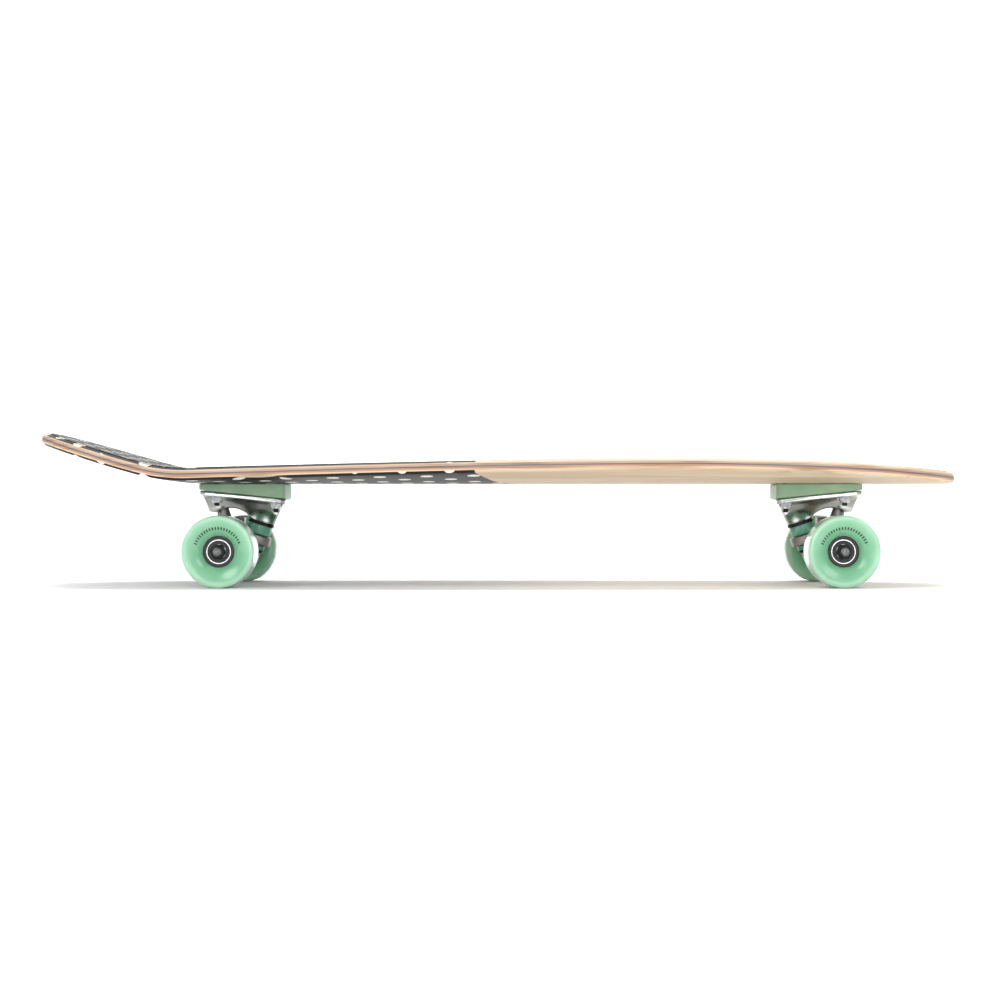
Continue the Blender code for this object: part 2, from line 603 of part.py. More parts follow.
# ---- hanger and wheels, which turn ----
def build_hanger(end, frame):
    """Cast T-shaped axle carrier: yoke body, kingpin ring, axle beam and pivot nose, and its axle."""
    pivot = Vector(PIVOT)
    steer = marker(end + "_steer_axis", frame, PIVOT)
    axle_centre = plate_point(AXLE_OUTBOARD, WHEEL_RADIUS)
    down = direction(KING_LEAN)
    nose_down = direction(-NOSE_LEAN)
    here = -pivot
    beam_mid = circle(axle_centre, (0, 1, 0), BEAM_COLLAR_RADIUS, HEX_SIDES)
    yoke_points = [point + Vector((0, side * YOKE_HALF, 0)) for point in beam_mid for side in (1, -1)]
    for x, z, reach in YOKE_POINTS:
        yoke_points += [Vector((x, side * reach, z)) for side in (1, -1)]
    nose_depth, nose_radius = YOKE_NOSE
    yoke_points += circle(pivot + nose_down * nose_depth, nose_down, nose_radius, HEX_SIDES)
    hanger = finished(end + "_hanger", hull(yoke_points), "cast_aluminium", steer, here)
    ring_points = []
    for height in RING_SPAN:
        ring_points += circle(Vector(KING_FACE) + down * height, down, RING_RADIUS, CASTING_SIDES)
    ring_points += [point + Vector((0, side * RING_APRON_HALF, 0)) for point in beam_mid for side in (1, -1)]
    ring = finished(end + "_hanger_ring", hull(ring_points), "cast_aluminium", steer, here)
    combine(hanger, ring, "UNION")
    half = HANGER_HALF_WIDTH
    one_side = ((BEAM_RADIUS, BEAM_THICK_HALF), (BEAM_WAIST_RADIUS, half - 5),
                (BEAM_COLLAR_RADIUS, half - 3), (BEAM_COLLAR_RADIUS, half))
    beam_profile = [(radius, -height) for radius, height in reversed(one_side)] + list(one_side)
    across = (math.radians(-90), 0, 0)
    beam = finished(end + "_hanger_beam", turned(beam_profile, BORE_SIDES), "cast_aluminium", steer,
                    axle_centre - pivot, across)
    combine(hanger, beam, "UNION")
    nose = finished(end + "_hanger_nose", turned(NOSE_PROFILE, BORE_SIDES), "cast_aluminium", steer,
                    (0, 0, 0), aimed(-NOSE_LEAN))
    combine(hanger, nose, "UNION")
    stadium = []
    for height in (RING_SPAN[1], POCKET_DEPTH):
        for side in (1, -1):
            centre = Vector(KING_FACE) + down * height + Vector((0, side * POCKET_SLIDE, 0))
            stadium += circle(centre, down, POCKET_RADIUS, RING_SIDES)
    above = []
    for height in (-4.0, RING_SPAN[0]):
        centre = Vector(KING_FACE) + down * height
        above += circle(centre, down, WASHER_TOP_RADIUS + WASHER_CLEARANCE, RING_SIDES)
    king_bore = turned(((RING_BORE, RING_SPAN[0] - 2), (RING_BORE, RING_SPAN[1] + 2)), BORE_SIDES)
    bore_place = Vector(KING_FACE) - pivot
    bore = AXLE_RADIUS + AXLE_PRESS_GAP
    axle_bore = turned(((bore, -half - 2), (bore, half + 2)), HEX_SIDES)
    cutters = (
        finished(end + "_bushing_pocket", hull(stadium), "black_steel", steer, here),
        finished(end + "_boardside_clearance", hull(above), "black_steel", steer, here),
        finished(end + "_kingpin_bore", king_bore, "black_steel", steer, bore_place, aimed(KING_LEAN)),
        finished(end + "_axle_bore", axle_bore, "black_steel", steer, axle_centre - pivot, across),
    )
    for cutter in cutters:
        combine(hanger, cutter, "DIFFERENCE")
    reach = AXLE_HALF_LENGTH
    tip = AXLE_RADIUS - AXLE_CHAMFER
    axle_profile = ((tip, -reach), (AXLE_RADIUS, -reach + AXLE_CHAMFER),
                    (AXLE_RADIUS, reach - AXLE_CHAMFER), (tip, reach))
    axle = turned(axle_profile, HEX_SIDES)
    finished(end + "_axle", axle, "zinc_steel", steer, axle_centre - pivot, across)
    for local_side in (1, -1):
        build_wheel(end, steer, axle_centre - pivot, local_side)


def build_wheel(end, steer, axle_place, local_side):
    """One wheel round its own axis, urethane cast on a core that holds two bearings, and its axle nut."""
    world_side = local_side if TRUCK_TURN[end] == 0 else -local_side
    label = f"{end}_{'left' if world_side > 0 else 'right'}"
    outward = (math.radians(-90 * local_side), 0, 0)
    place = axle_place + Vector((0, local_side * WHEEL_CENTRE_Y, 0))
    hub = marker(label + "_wheel_axis", steer, place, (0, math.radians(PLATE_TILT), 0))
    tyre = turned(TYRE_PROFILE, TYRE_SIDES, hollow=True, flat_down=True)
    finished(label + "_tyre", tyre, "mint_urethane", hub, (0, 0, 0), outward)
    seat = BEARING_RADIUS + GAP
    stop = BEARING_SPAN[0] - GAP
    core_profile = ((seat, CORE_HALF), (CORE_RADIUS, CORE_HALF), (CORE_RADIUS, -CORE_HALF),
                    (seat, -CORE_HALF), (seat, -stop), (CORE_STOP_RADIUS, -stop),
                    (CORE_STOP_RADIUS, stop), (seat, stop))
    core = turned(core_profile, CORE_SIDES, hollow=True)
    finished(label + "_core", core, "black_plastic", hub, (0, 0, 0), outward)
    for name, sign in (("outer_bearing", 1), ("inner_bearing", -1)):
        low, high = sorted(sign * height for height in BEARING_SPAN)
        profile = ((BEARING_BORE, low), (BEARING_RADIUS, low), (BEARING_RADIUS, high), (BEARING_BORE, high))
        bearing = turned(profile, RING_SIDES, hollow=True)
        finished(f"{label}_{name}", bearing, "zinc_steel", hub, (0, 0, 0), outward)
    low, high = AXLE_NUT_SPAN
    bore = AXLE_RADIUS + GAP
    flats = AXLE_NUT_FLATS / 2
    nut_profile = ((bore, low), (flats, low), (flats, high), (bore, high))
    nut = turned(nut_profile, HEX_SIDES, hollow=True, hexagonal=(1, 2))
    finished(label + "_axle_nut", nut, "black_steel", steer, axle_place, outward)


clear_scene()
build_deck()
for truck_end in TRUCK_X:
    build_riser(truck_end)
    build_bolts(truck_end)
    tilt_and_turn = (0, -math.radians(PLATE_TILT), math.radians(TRUCK_TURN[truck_end]))
    truck_place = (TRUCK_X[truck_end], 0, PLATE_TOP_Z)
    truck_frame = marker(truck_end + "_truck_frame", None, truck_place, tilt_and_turn)
    build_baseplate(truck_end, truck_frame)
    build_kingpin_stack(truck_end, truck_frame)
    build_hanger(truck_end, truck_frame)
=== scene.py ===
"""Cruiser skateboard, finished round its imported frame: maple deck, wedge risers, sprung trucks, wheels."""
import math

import bmesh
import bpy
import numpy as np
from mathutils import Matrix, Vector


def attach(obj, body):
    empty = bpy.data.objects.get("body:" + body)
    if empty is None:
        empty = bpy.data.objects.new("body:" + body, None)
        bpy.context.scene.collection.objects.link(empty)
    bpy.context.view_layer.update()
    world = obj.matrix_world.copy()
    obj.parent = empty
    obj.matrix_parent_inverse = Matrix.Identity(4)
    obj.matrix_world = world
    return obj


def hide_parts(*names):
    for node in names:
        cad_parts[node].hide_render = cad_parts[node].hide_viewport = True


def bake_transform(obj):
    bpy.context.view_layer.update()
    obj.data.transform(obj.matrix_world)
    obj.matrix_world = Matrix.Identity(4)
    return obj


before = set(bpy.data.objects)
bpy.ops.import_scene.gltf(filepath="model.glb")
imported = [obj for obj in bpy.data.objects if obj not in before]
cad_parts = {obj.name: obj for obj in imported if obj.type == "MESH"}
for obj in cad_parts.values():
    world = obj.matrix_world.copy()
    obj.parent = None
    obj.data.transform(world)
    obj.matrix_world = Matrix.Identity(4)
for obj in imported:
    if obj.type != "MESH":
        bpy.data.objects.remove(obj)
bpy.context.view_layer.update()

MM = 0.001


# ---- Deck: seven sheets of rock maple, glued and pressed in a mould so that the rails rise and the tail
# kicks up, then cut to outline, rounded along the rail and sanded out over the wheels. The middle ply is
# dyed, the faces carry a screen print at the tail end and a clear lacquer.
# Plan: tail and nose along X, the widest station, the half width there and how much is lost to the tail.
DECK_TAIL, DECK_NOSE, DECK_WIDEST = -417.0, 419.0, 60.0
DECK_HALF, TAIL_TAPER = 117.0, 9.0
TAPER_POWER, NOSE_POWERS, TAIL_POWERS = 1.6, (3.0, 1 / 2.2), (9.0, 0.5)
# Section: the top's height, thickness, rail rounding, the flat's half width and how rails rise past it.
DECK_TOP, DECK_THICK, RAIL_ROUND = 103.3, 10.5, 4.2
FLAT_HALF, RAIL_RISE, RISE_POWER = 30.0, 11.2, 1.7
RISE_FROM, RISE_TO = -335.0, 220.0
# Tail: where the kick starts, how long it bends and the slope it ends on.
KICK_FROM, KICK_BEND, KICK_SLOPE = -269.5, 45.0, math.tan(math.radians(16.5))
# Wheel wells: their places, length on the rail, reach in from it and depth.
WELL_CENTRES, WELL_LONG, WELL_REACH, WELL_DEEP = (-208.5, 270.0), 56.0, 28.0, 3.2


def taper(x):
    """Half width before the tail rounds off: the widest half less a slow power of the way back."""
    back = np.clip((DECK_WIDEST - x) / (DECK_WIDEST - DECK_TAIL), 0, None)
    return DECK_HALF - TAIL_TAPER * back ** TAPER_POWER


def plan_half_width(x):
    """Half width over x: a superellipse falling from the widest station to each tip."""
    ahead = np.clip((x - DECK_WIDEST) / (DECK_NOSE - DECK_WIDEST), 0, 1)
    behind = np.clip((DECK_WIDEST - x) / (DECK_WIDEST - DECK_TAIL), 0, 1)
    nose = DECK_HALF * (1 - ahead ** NOSE_POWERS[0]) ** NOSE_POWERS[1]
    tail = taper(x) * (1 - behind ** TAIL_POWERS[0]) ** TAIL_POWERS[1]
    return np.where(x > DECK_WIDEST, nose, tail)


def deck_outline(count):
    """Plan outline as evenly spaced points with inward normals, mirrored about the centre line."""
    squeeze = np.linspace(0, 1, 3000) ** 2
    back = DECK_TAIL + (DECK_WIDEST - DECK_TAIL) * squeeze
    fore = DECK_NOSE - (DECK_NOSE - DECK_WIDEST) * squeeze[::-1]
    x = np.concatenate((back, fore[1:]))
    y = -plan_half_width(x)
    along = np.concatenate(([0], np.cumsum(np.hypot(np.diff(x), np.diff(y)))))
    even = np.linspace(0, along[-1], count // 2 + 1)
    right = np.column_stack((np.interp(even, along, x), np.interp(even, along, y)))
    right[[0, -1], 1] = 0
    left = right[-2:0:-1] * (1, -1)
    loop = np.vstack((right, left))
    tangent = np.roll(loop, -1, 0) - np.roll(loop, 1, 0)
    tangent /= np.linalg.norm(tangent, axis=1, keepdims=True)
    inward = np.column_stack((-tangent[:, 1], tangent[:, 0]))
    return loop, inward


def deck_height(x, y):
    """Top surface: flat middle, rails raised by a power of the distance past the flat, tail on a ramp."""
    fade = np.sin(math.pi / 2 * np.clip((x - RISE_FROM) / (RISE_TO - RISE_FROM), 0, 1))
    out = np.clip(np.abs(y) - FLAT_HALF, 0, None) / (DECK_HALF - FLAT_HALF)
    limit = np.maximum(plan_half_width(x), FLAT_HALF + 1) / DECK_HALF
    back = np.clip(KICK_FROM - x, 0, None)
    bend = KICK_SLOPE * back ** 2 / (2 * KICK_BEND)
    ramp = KICK_SLOPE * (back - KICK_BEND / 2)
    rails = RAIL_RISE * fade * np.minimum(out, limit) ** RISE_POWER
    return DECK_TOP + rails + np.where(back < KICK_BEND, bend, ramp)


def well_depth(x, y):
    """Depth of the sanded wheel wells: a bowl, deepest on the rail, gone a little way in from it."""
    depth = np.zeros_like(x)
    for centre in WELL_CENTRES:
        along = (x - centre) / (WELL_LONG / 2)
        across = (plan_half_width(x) - np.abs(y)) / WELL_REACH
        depth = np.maximum(depth, WELL_DEEP * (1 - along ** 2 - across ** 2))
    return depth


def board_shell(count, share, inset, depth, wells):
    """Section carried round the outline.

    Each column of the section has a share of the way from the centre line to the edge, an inset of that
    edge from the outline and a depth under the top surface, measured along the surface's normal.
    """
    loop, inward = deck_outline(count)
    spine = np.column_stack((np.clip(loop[:, 0], DECK_TAIL + 110, DECK_NOSE - 120), np.zeros(count)))
    edge = loop[:, None] + inward[:, None] * inset[None, :, None]
    plan = spine[:, None] + (edge - spine[:, None]) * share[None, :, None]
    x, y = plan[..., 0], plan[..., 1]
    step = 0.2
    slope_x = (deck_height(x + step, y) - deck_height(x - step, y)) / (2 * step)
    slope_y = (deck_height(x, y + step) - deck_height(x, y - step)) / (2 * step)
    normal = np.stack((-slope_x, -slope_y, np.ones_like(x)), -1)
    normal /= np.linalg.norm(normal, axis=-1, keepdims=True)
    down = np.broadcast_to(depth, x.shape).copy()
    if wells:
        down *= (DECK_THICK - well_depth(x, y)) / DECK_THICK
    top = np.stack((x, y, deck_height(x, y)), -1)
    return top - normal * down[..., None], down


def surface(name, points, material, wrap_u=False, wrap_v=False, sharp=35, **marks):
    """Mesh over a grid of points in millimetres; a wrapped side meets itself, marks become attributes."""
    rows, columns = points.shape[:2]
    index = np.arange(rows * columns).reshape(rows, columns)
    if wrap_u:
        index = np.vstack((index, index[:1]))
    if wrap_v:
        index = np.hstack((index, index[:, :1]))
    quads = np.stack((index[:-1, :-1], index[1:, :-1], index[1:, 1:], index[:-1, 1:]), -1).reshape(-1, 4)
    return body_of_faces(name, points.reshape(-1, 3), quads, material, sharp, marks)


def body_of_faces(name, points, faces, material, sharp, marks):
    """Welded, outward-facing, smooth-shaded object from point and face arrays."""
    mesh = bpy.data.meshes.new(name)
    mesh.from_pydata((points * MM).tolist(), [], faces.tolist())
    for mark, values in marks.items():
        vector = values.shape[-1] == 3 and values.ndim == 3
        kept = mesh.attributes.new(mark, "FLOAT_VECTOR" if vector else "FLOAT", "POINT")
        numbers = np.ascontiguousarray(values, np.float32).ravel()
        kept.data.foreach_set("vector" if vector else "value", numbers)
    welded = bmesh.new()
    welded.from_mesh(mesh)
    bmesh.ops.remove_doubles(welded, verts=welded.verts, dist=0.002 * MM)
    bmesh.ops.recalc_face_normals(welded, faces=welded.faces)
    welded.to_mesh(mesh)
    welded.free()
    mesh.shade_smooth()
    mesh.set_sharp_from_angle(angle=math.radians(sharp))
    mesh.materials.append(material)
    made = bpy.data.objects.new(name, mesh)
    bpy.context.scene.collection.objects.link(made)
    return made


def linear(code):
    """Linear colour of an sRGB hex value."""
    channels = [int(code[place:place + 2], 16) / 255 for place in (1, 3, 5)]
    return (*[((c + 0.055) / 1.055) ** 2.4 if c > 0.04045 else c / 12.92 for c in channels], 1.0)


def add(tree, kind, inputs=None, stops=None, **settings):
    """Add a node with its settings, its input values or links, and a colour ramp's stops."""
    made = tree.nodes.new(kind)
    for setting, value in settings.items():
        setattr(made, setting, value)
    for place, value in (inputs or {}).items():
        if isinstance(value, bpy.types.NodeSocket):
            tree.links.new(value, made.inputs[place])
        else:
            made.inputs[place].default_value = value
    for position, (at, colour) in enumerate(stops or ()):
        elements = made.color_ramp.elements
        stop = elements[position] if position < len(elements) else elements.new(at)
        stop.position = at
        stop.color = colour if not isinstance(colour, str) else linear(colour)
    return made


def finish_of(name, **sockets):
    """New material with its Principled shader, whose uniform values are set on its own sockets."""
    material = bpy.data.materials.new(name)
    material.use_nodes = True
    shader = material.node_tree.nodes["Principled BSDF"]
    for socket, value in sockets.items():
        shader.inputs[socket.replace("_", " ")].default_value = value
    return material, material.node_tree, shader


def maths(tree, operation, *values):
    """Output of one sum on numbers or outputs."""
    return add(tree, "ShaderNodeMath", dict(enumerate(values)), operation=operation).outputs[0]


def vectors(tree, operation, *values):
    """Output of one sum on vectors; a length comes out as its number."""
    made = add(tree, "ShaderNodeVectorMath", dict(enumerate(values)), operation=operation)
    return made.outputs["Value" if operation == "LENGTH" else 0]


def ramp(tree, source, stops):
    """Colour that a ramp gives a value."""
    return add(tree, "ShaderNodeValToRGB", {0: source}, stops).outputs[0]


def mixed(tree, share, first, second, blend="MIX"):
    """Second colour laid over the first, by a share."""
    inputs = {0: share, 6: first, 7: second}
    return add(tree, "ShaderNodeMix", inputs, data_type="RGBA", blend_type=blend).outputs[2]


def noise(tree, scale, detail, distortion=0.0, rough=0.5):
    """Noise on the object's own coordinates, drawn out where three scales differ."""
    place = add(tree, "ShaderNodeTexCoord").outputs["Object"]
    if isinstance(scale, tuple):
        place = add(tree, "ShaderNodeMapping", {"Vector": place, "Scale": scale}).outputs[0]
        scale = 1.0
    made = add(tree, "ShaderNodeTexNoise", {"Vector": place, "Scale": scale, "Detail": detail})
    made.inputs["Distortion"].default_value = distortion
    made.inputs["Roughness"].default_value = rough
    return made.outputs[0]


def dress(tree, shader, colour, driver, ends, bump=()):
    """Give a shader its colour, a roughness that follows a driver, and relief.

    Ends are the roughness at the driver's two ends, after the driver's span if that isn't the whole; bump is
    a strength, a depth in metres and the value that it follows.
    """
    tree.links.new(colour, shader.inputs["Base Color"])
    rough = add(tree, "ShaderNodeMapRange", {0: driver, **dict(zip(range(5 - len(ends), 5), ends))})
    tree.links.new(rough.outputs[0], shader.inputs["Roughness"])
    if bump:
        relief = add(tree, "ShaderNodeBump", dict(zip(("Strength", "Distance", "Height"), bump)))
        tree.links.new(relief.outputs[0], shader.inputs["Normal"])


def mottled(name, cloud, stops, ends, bump=None, fine=None, **sockets):
    """Material whose colour and roughness follow one noise, with a bump from it or from a finer one.

    Cloud and fine are a noise's scale, detail, distortion and roughness.
    """
    material, tree, shader = finish_of(name, **sockets)
    value = noise(tree, *cloud)
    relief = noise(tree, *fine) if fine else value
    dress(tree, shader, ramp(tree, value, stops), value, ends, (*bump, relief) if bump else ())
    return material


# Print: where its ground ends along the board, the slant of that line, and the dots' pitch, radius and lie.
PRINT_END, PRINT_SLANT = 0.0148, -0.29
DOT_PITCH, DOT_RADIUS, DOT_LIE = 41.0, 5.6, -0.061


def polka_print(tree):
    """Masks of the print: where the black ground lies, and where a white dot lies on it.

    The ground ends on a straight line that crosses the board at a slant. The dots stand on two square
    lattices, the second shifted by half a pitch both ways.
    """
    place = add(tree, "ShaderNodeTexCoord").outputs["Object"]
    split = add(tree, "ShaderNodeSeparateXYZ", {0: place}).outputs
    slant = maths(tree, "MULTIPLY_ADD", split["Y"], PRINT_SLANT, split["X"])
    per_metre = 1000 / DOT_PITCH
    masks = []
    for shift in (0.0, 0.5):
        cell = vectors(tree, "MULTIPLY_ADD", place, (per_metre, per_metre, 0), (shift, shift + DOT_LIE, 0))
        centred = vectors(tree, "ADD", vectors(tree, "FRACTION", cell), (-0.5, -0.5, 0))
        reach = vectors(tree, "LENGTH", vectors(tree, "MULTIPLY", centred, (DOT_PITCH, DOT_PITCH, 0)))
        masks.append(maths(tree, "LESS_THAN", reach, DOT_RADIUS))
    return maths(tree, "LESS_THAN", slant, PRINT_END), maths(tree, "MAXIMUM", *masks)


def maple_grain(tree):
    """Straight maple figure along the board: long soft bands with fine dark fibre lines over them."""
    wide = noise(tree, (3.0, 45.0, 45.0), 4.0, 0.6)
    fine = noise(tree, (9.0, 520.0, 520.0), 3.0)
    both = add(tree, "ShaderNodeMix", {0: 0.4, 2: wide, 3: fine}, data_type="FLOAT")
    return both.outputs[0], fine


# How far the ink wraps over the rail from the top and from the underside.
INK_OVER, INK_UNDER = 1.5, 2.0
PLIES = 7

# Pressed maple under a satin lacquer: a pale face with straight figure, warm plies on the sawn edge and one
# dyed slate ply in the middle, its cut streaked brown; the print is flat black ink with white dots, under
# the same lacquer.
maple, tree, shader = finish_of("maple_plies_lacquered", Roughness=0.5, Specular_IOR_Level=0.32)
grain, fibre = maple_grain(tree)
face_wood = ramp(tree, grain, ((0.32, "#b99d7c"), (0.5, "#cdb89c"), (0.68, "#dac8b0")))
depth = add(tree, "ShaderNodeAttribute", attribute_name="ply_depth").outputs["Fac"]
share = maths(tree, "DIVIDE", depth, DECK_THICK)
plies = add(tree, "ShaderNodeValToRGB", {0: share},
            ((0.0, "#f0dec6"), (0.15, "#cbb096"), (0.29, "#b59c8b"), (0.43, "#6a6f7a"), (0.54, "#b98f72"),
             (0.69, "#dcc3aa"), (0.83, "#f0e2cd")))
plies.color_ramp.interpolation = "CONSTANT"
streaks = ramp(tree, noise(tree, (13.0, 30.0, 480.0), 5.0),
               ((0.34, "#9a8270"), (0.48, "#f0e8df"), (0.6, "#ffffff")))
sawn = mixed(tree, 0.6, plies.outputs[0], streaks, "MULTIPLY")
ply_part = maths(tree, "FRACT", maths(tree, "MULTIPLY", share, PLIES))
glue_line = ramp(tree, ply_part, ((0.0, "#7a5b40"), (0.09, "#ffffff"), (0.93, "#ffffff"), (1.0, "#7a5b40")))
glued = mixed(tree, 0.55, sawn, glue_line, "MULTIPLY")
below_top = maths(tree, "GREATER_THAN", depth, INK_OVER)
cut = maths(tree, "MULTIPLY", below_top, maths(tree, "LESS_THAN", depth, DECK_THICK - INK_UNDER))
ground, dots = polka_print(tree)
ink = mixed(tree, dots, linear("#131313"), linear("#efebe4"))
printed = maths(tree, "MULTIPLY", ground, maths(tree, "SUBTRACT", 1.0, cut))
faced = mixed(tree, printed, mixed(tree, cut, face_wood, glued), ink)
dress(tree, shader, faced, grain, (0.42, 0.6), (0.12, 0.0002, fibre))

rail_turn = np.radians(np.linspace(0, 90, 8))
rail_inset = RAIL_ROUND * (1 - np.sin(rail_turn))
rail_depth = RAIL_ROUND * (1 - np.cos(rail_turn))
middle = np.linspace(RAIL_ROUND, DECK_THICK - RAIL_ROUND, 6)[1:-1]
inner = np.linspace(0, 1, 21)[:-1]
deck_share = np.concatenate((inner, np.ones(20), inner[::-1]))
flat_inset = np.full(20, RAIL_ROUND)
deck_inset = np.concatenate((flat_inset, rail_inset, np.zeros(4), rail_inset[::-1], flat_inset))
deck_depth = np.concatenate((np.zeros(20), rail_depth, middle, DECK_THICK - rail_depth[::-1],
                             np.full(20, DECK_THICK)))
shell, below = board_shell(460, deck_share, deck_inset, deck_depth, wells=True)
deck = surface("maple_deck", shell, maple, wrap_u=True, sharp=60, ply_depth=below)
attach(deck, "root")
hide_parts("deck")


# ---- Grip: a clear adhesive sheet coated with coarse silica grit, die-cut a little smaller than the deck
# and rolled on, so that print and wood show through a rough, sparkling skin.
GRIP_INSET, GRIP_LIFT, GRIP_THICK = 7.0, 0.3, 0.8

grip, tree, shader = finish_of("clear_grit_over_print", Roughness=0.8, Specular_IOR_Level=0.35)
wood = ramp(tree, maple_grain(tree)[0], ((0.32, "#b9976d"), (0.5, "#c8ac85"), (0.68, "#d4bd99")))
ground, dots = polka_print(tree)
under = mixed(tree, ground, wood, mixed(tree, dots, linear("#232323"), linear("#d9d5cf")))
place = add(tree, "ShaderNodeTexCoord").outputs["Object"]
# Grit of 0.4 mm is drawn as 1.3 mm grains so that it shows at this size.
grit = add(tree, "ShaderNodeTexVoronoi", {"Vector": place, "Scale": 1 / 0.0013})
tint = add(tree, "ShaderNodeSeparateColor", {0: grit.outputs["Color"]})
# Each grain gets a random tone from dark grey to white; the whitest few are painted glints.
grit_tone_and_glint = ramp(tree, tint.outputs[0],
             ((0.0, "#2b2b2b"), (0.45, "#6f6f6f"), (0.85, "#a9a9a9"), (0.97, "#ffffff")))
gritty = mixed(tree, 0.42, under, grit_tone_and_glint, "OVERLAY")
dress(tree, shader, mixed(tree, 0.16, gritty, grit_tone_and_glint), tint.outputs[2], (0.45, 0.95))
peaks = maths(tree, "MULTIPLY", grit.outputs["Distance"], tint.outputs[1])
tooth = add(tree, "ShaderNodeBump", {"Strength": 0.8, "Distance": 0.0006, "Height": peaks},
            invert=True)
tree.links.new(tooth.outputs[0], shader.inputs["Normal"])

lip = np.array((0.0, 0.15, 0.5))
grip_inner = np.linspace(0, 1, 25)[:-1]
grip_share = np.concatenate((grip_inner, np.ones(6), grip_inner[::-1]))
grip_inset = GRIP_INSET - np.concatenate((np.zeros(24), lip, lip[::-1], np.zeros(24)))
grip_rim = np.concatenate((GRIP_THICK - np.array((0, 0.1, 0.3)), (0.25, 0.1, 0.0)))
grip_depth = -GRIP_LIFT - np.concatenate((np.full(24, GRIP_THICK), grip_rim, np.zeros(24)))
sheet_points, _ = board_shell(460, grip_share, grip_inset, grip_depth, wells=False)
grip_sheet = surface("grip_sheet", sheet_points, grip, wrap_u=True, sharp=60)
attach(grip_sheet, "root")
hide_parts("grip_tape")


# ---- Risers: wedge pads moulded in mint rubber, one under each truck, the thick end towards the middle of
# the board, which tips the truck's plate. The mounting bolts clamp them between deck and plate.
# Trucks: where each plate's middle lies along the board, and which way its outboard end points.
TRUCKS = {"rear": (-230.0, -1), "front": (289.5, 1)}
# Plate: height of its top's middle, tilt, outline from inboard to outboard end, half width and corner.
PLATE_TOP, PLATE_TILT = 82.24, math.radians(5.86)
PLATE_BACK, PLATE_FRONT, PLATE_HALF, PLATE_CORNER = -36.6, 43.0, 27.5, 6.0
DECK_BASE, GAP = DECK_TOP - DECK_THICK, 0.3
OVERHANG, PAD_EDGE = 0.6, 0.9


def soften(path, reach, closed=False, steps=4):
    """Polyline with each corner replaced by a short quadratic curve that starts and ends a reach from it."""
    path = np.asarray(path, float)
    count = len(path)
    corners = range(count) if closed else range(1, count - 1)
    share = np.linspace(0, 1, steps + 1)[:, None]
    result = [] if closed else [path[:1]]
    for corner in corners:
        here, before, after = path[corner], path[corner - 1], path[(corner + 1) % count]
        start = here + (before - here) * min(0.45, reach / max(np.linalg.norm(before - here), 1e-6))
        end = here + (after - here) * min(0.45, reach / max(np.linalg.norm(after - here), 1e-6))
        result.append((1 - share) ** 2 * start + 2 * share * (1 - share) * here + share ** 2 * end)
    if not closed:
        result.append(path[-1:])
    return np.vstack(result)


def rounded_plan(low, high, half, corner, steps=10):
    """Rectangle with quarter-circle corners, anticlockwise, with the inward normal at each point."""
    turn = np.radians(np.linspace(0, 90, steps + 1))
    places = ((high - corner, half - corner), (low + corner, half - corner), (low + corner, corner - half),
              (high - corner, corner - half))
    angle = np.concatenate([turn + quarter * math.pi / 2 for quarter in range(4)])
    centre = np.repeat(np.array(places), steps + 1, 0)
    outward = np.column_stack((np.cos(angle), np.sin(angle)))
    return centre + corner * outward, -outward


riser_rubber, tree, shader = finish_of("mint_rubber_moulded", Roughness=0.42, Specular_IOR_Level=0.4)
# Moulded rubber: even colour with faint flow marks and a fine matt skin.
flow = ramp(tree, noise(tree, 38.0, 3.0), ((0.3, "#85a888"), (0.55, "#93b394"), (0.75, "#a1bf9f")))
skin = noise(tree, 900.0, 2.0)
dress(tree, shader, flow, skin, (0.34, 0.52), (0.15, 0.0003, skin))

plan, plan_in = rounded_plan(PLATE_BACK + OVERHANG, PLATE_FRONT, PLATE_HALF + OVERHANG, PLATE_CORNER)
edge_turn = np.radians(np.linspace(0, 90, 5))
pad_round = PAD_EDGE * (1 - np.sin(edge_turn))
pad_drop = PAD_EDGE * (1 - np.cos(edge_turn))
# The faces close over the middle in two more columns, the last of them on the centre line.
pad_inset = np.concatenate(((28.0, 14.0), pad_round, pad_round[::-1], (14.0, 28.0)))
pad_lift = np.concatenate(((0, 0), -pad_drop, pad_drop[::-1], (0, 0)))
upper = np.arange(len(pad_inset)) < 7
for end, (truck_x, way) in TRUCKS.items():
    flat = plan[:, None] + plan_in[:, None] * pad_inset[None, :, None]
    spine = np.stack((np.clip(flat[..., 0], -8, 12), flat[..., 1] * 0), -1)
    flat = np.where(pad_inset[None, :, None] > 20, spine, flat)
    base = PLATE_TOP + GAP + math.tan(PLATE_TILT) * flat[..., 0]
    height = np.where(upper, DECK_BASE - GAP, base) + pad_lift
    points = np.stack((truck_x + way * flat[..., 0], way * flat[..., 1], height), -1)
    riser = surface(end + "_wedge_riser", points, riser_rubber, wrap_u=True)
    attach(riser, "root")
    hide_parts(end + "_riser")


# ---- Baseplates: gravity-cast aluminium, tumbled and polished. Slab, kingpin boss, arch and pivot housing
# are one casting with fillets wherever they meet, spot-faced under the four nuts.
# Places in the plate's frame, X outboard and Z up from the middle of its top: the kingpin boss's face and
# axis, the pivot and its nose's axis, the mounting nuts and the way up that is level under the board.
KING_FACE = np.array((-13.8, 0.0, -22.65))
KING_DOWN = np.array((math.sin(math.radians(12.1)), 0.0, -math.cos(math.radians(12.1))))
PIVOT = np.array((24.5, 0.0, -10.5))
NOSE_DOWN = np.array((-math.sin(math.radians(16.8)), 0.0, -math.cos(math.radians(16.8))))
BOLT_X, BOLT_Y = 27.0, 20.64
PLATE_THICK, SEAT_THICK = 4.8, 3.9
BOSS_RADIUS, HOUSING_RADIUS, SPOT_RADIUS, HOLE_RADIUS = 12.4, 9.8, 6.4, 2.9
LEVEL_UP = np.array((math.sin(PLATE_TILT), 0.0, math.cos(PLATE_TILT)))


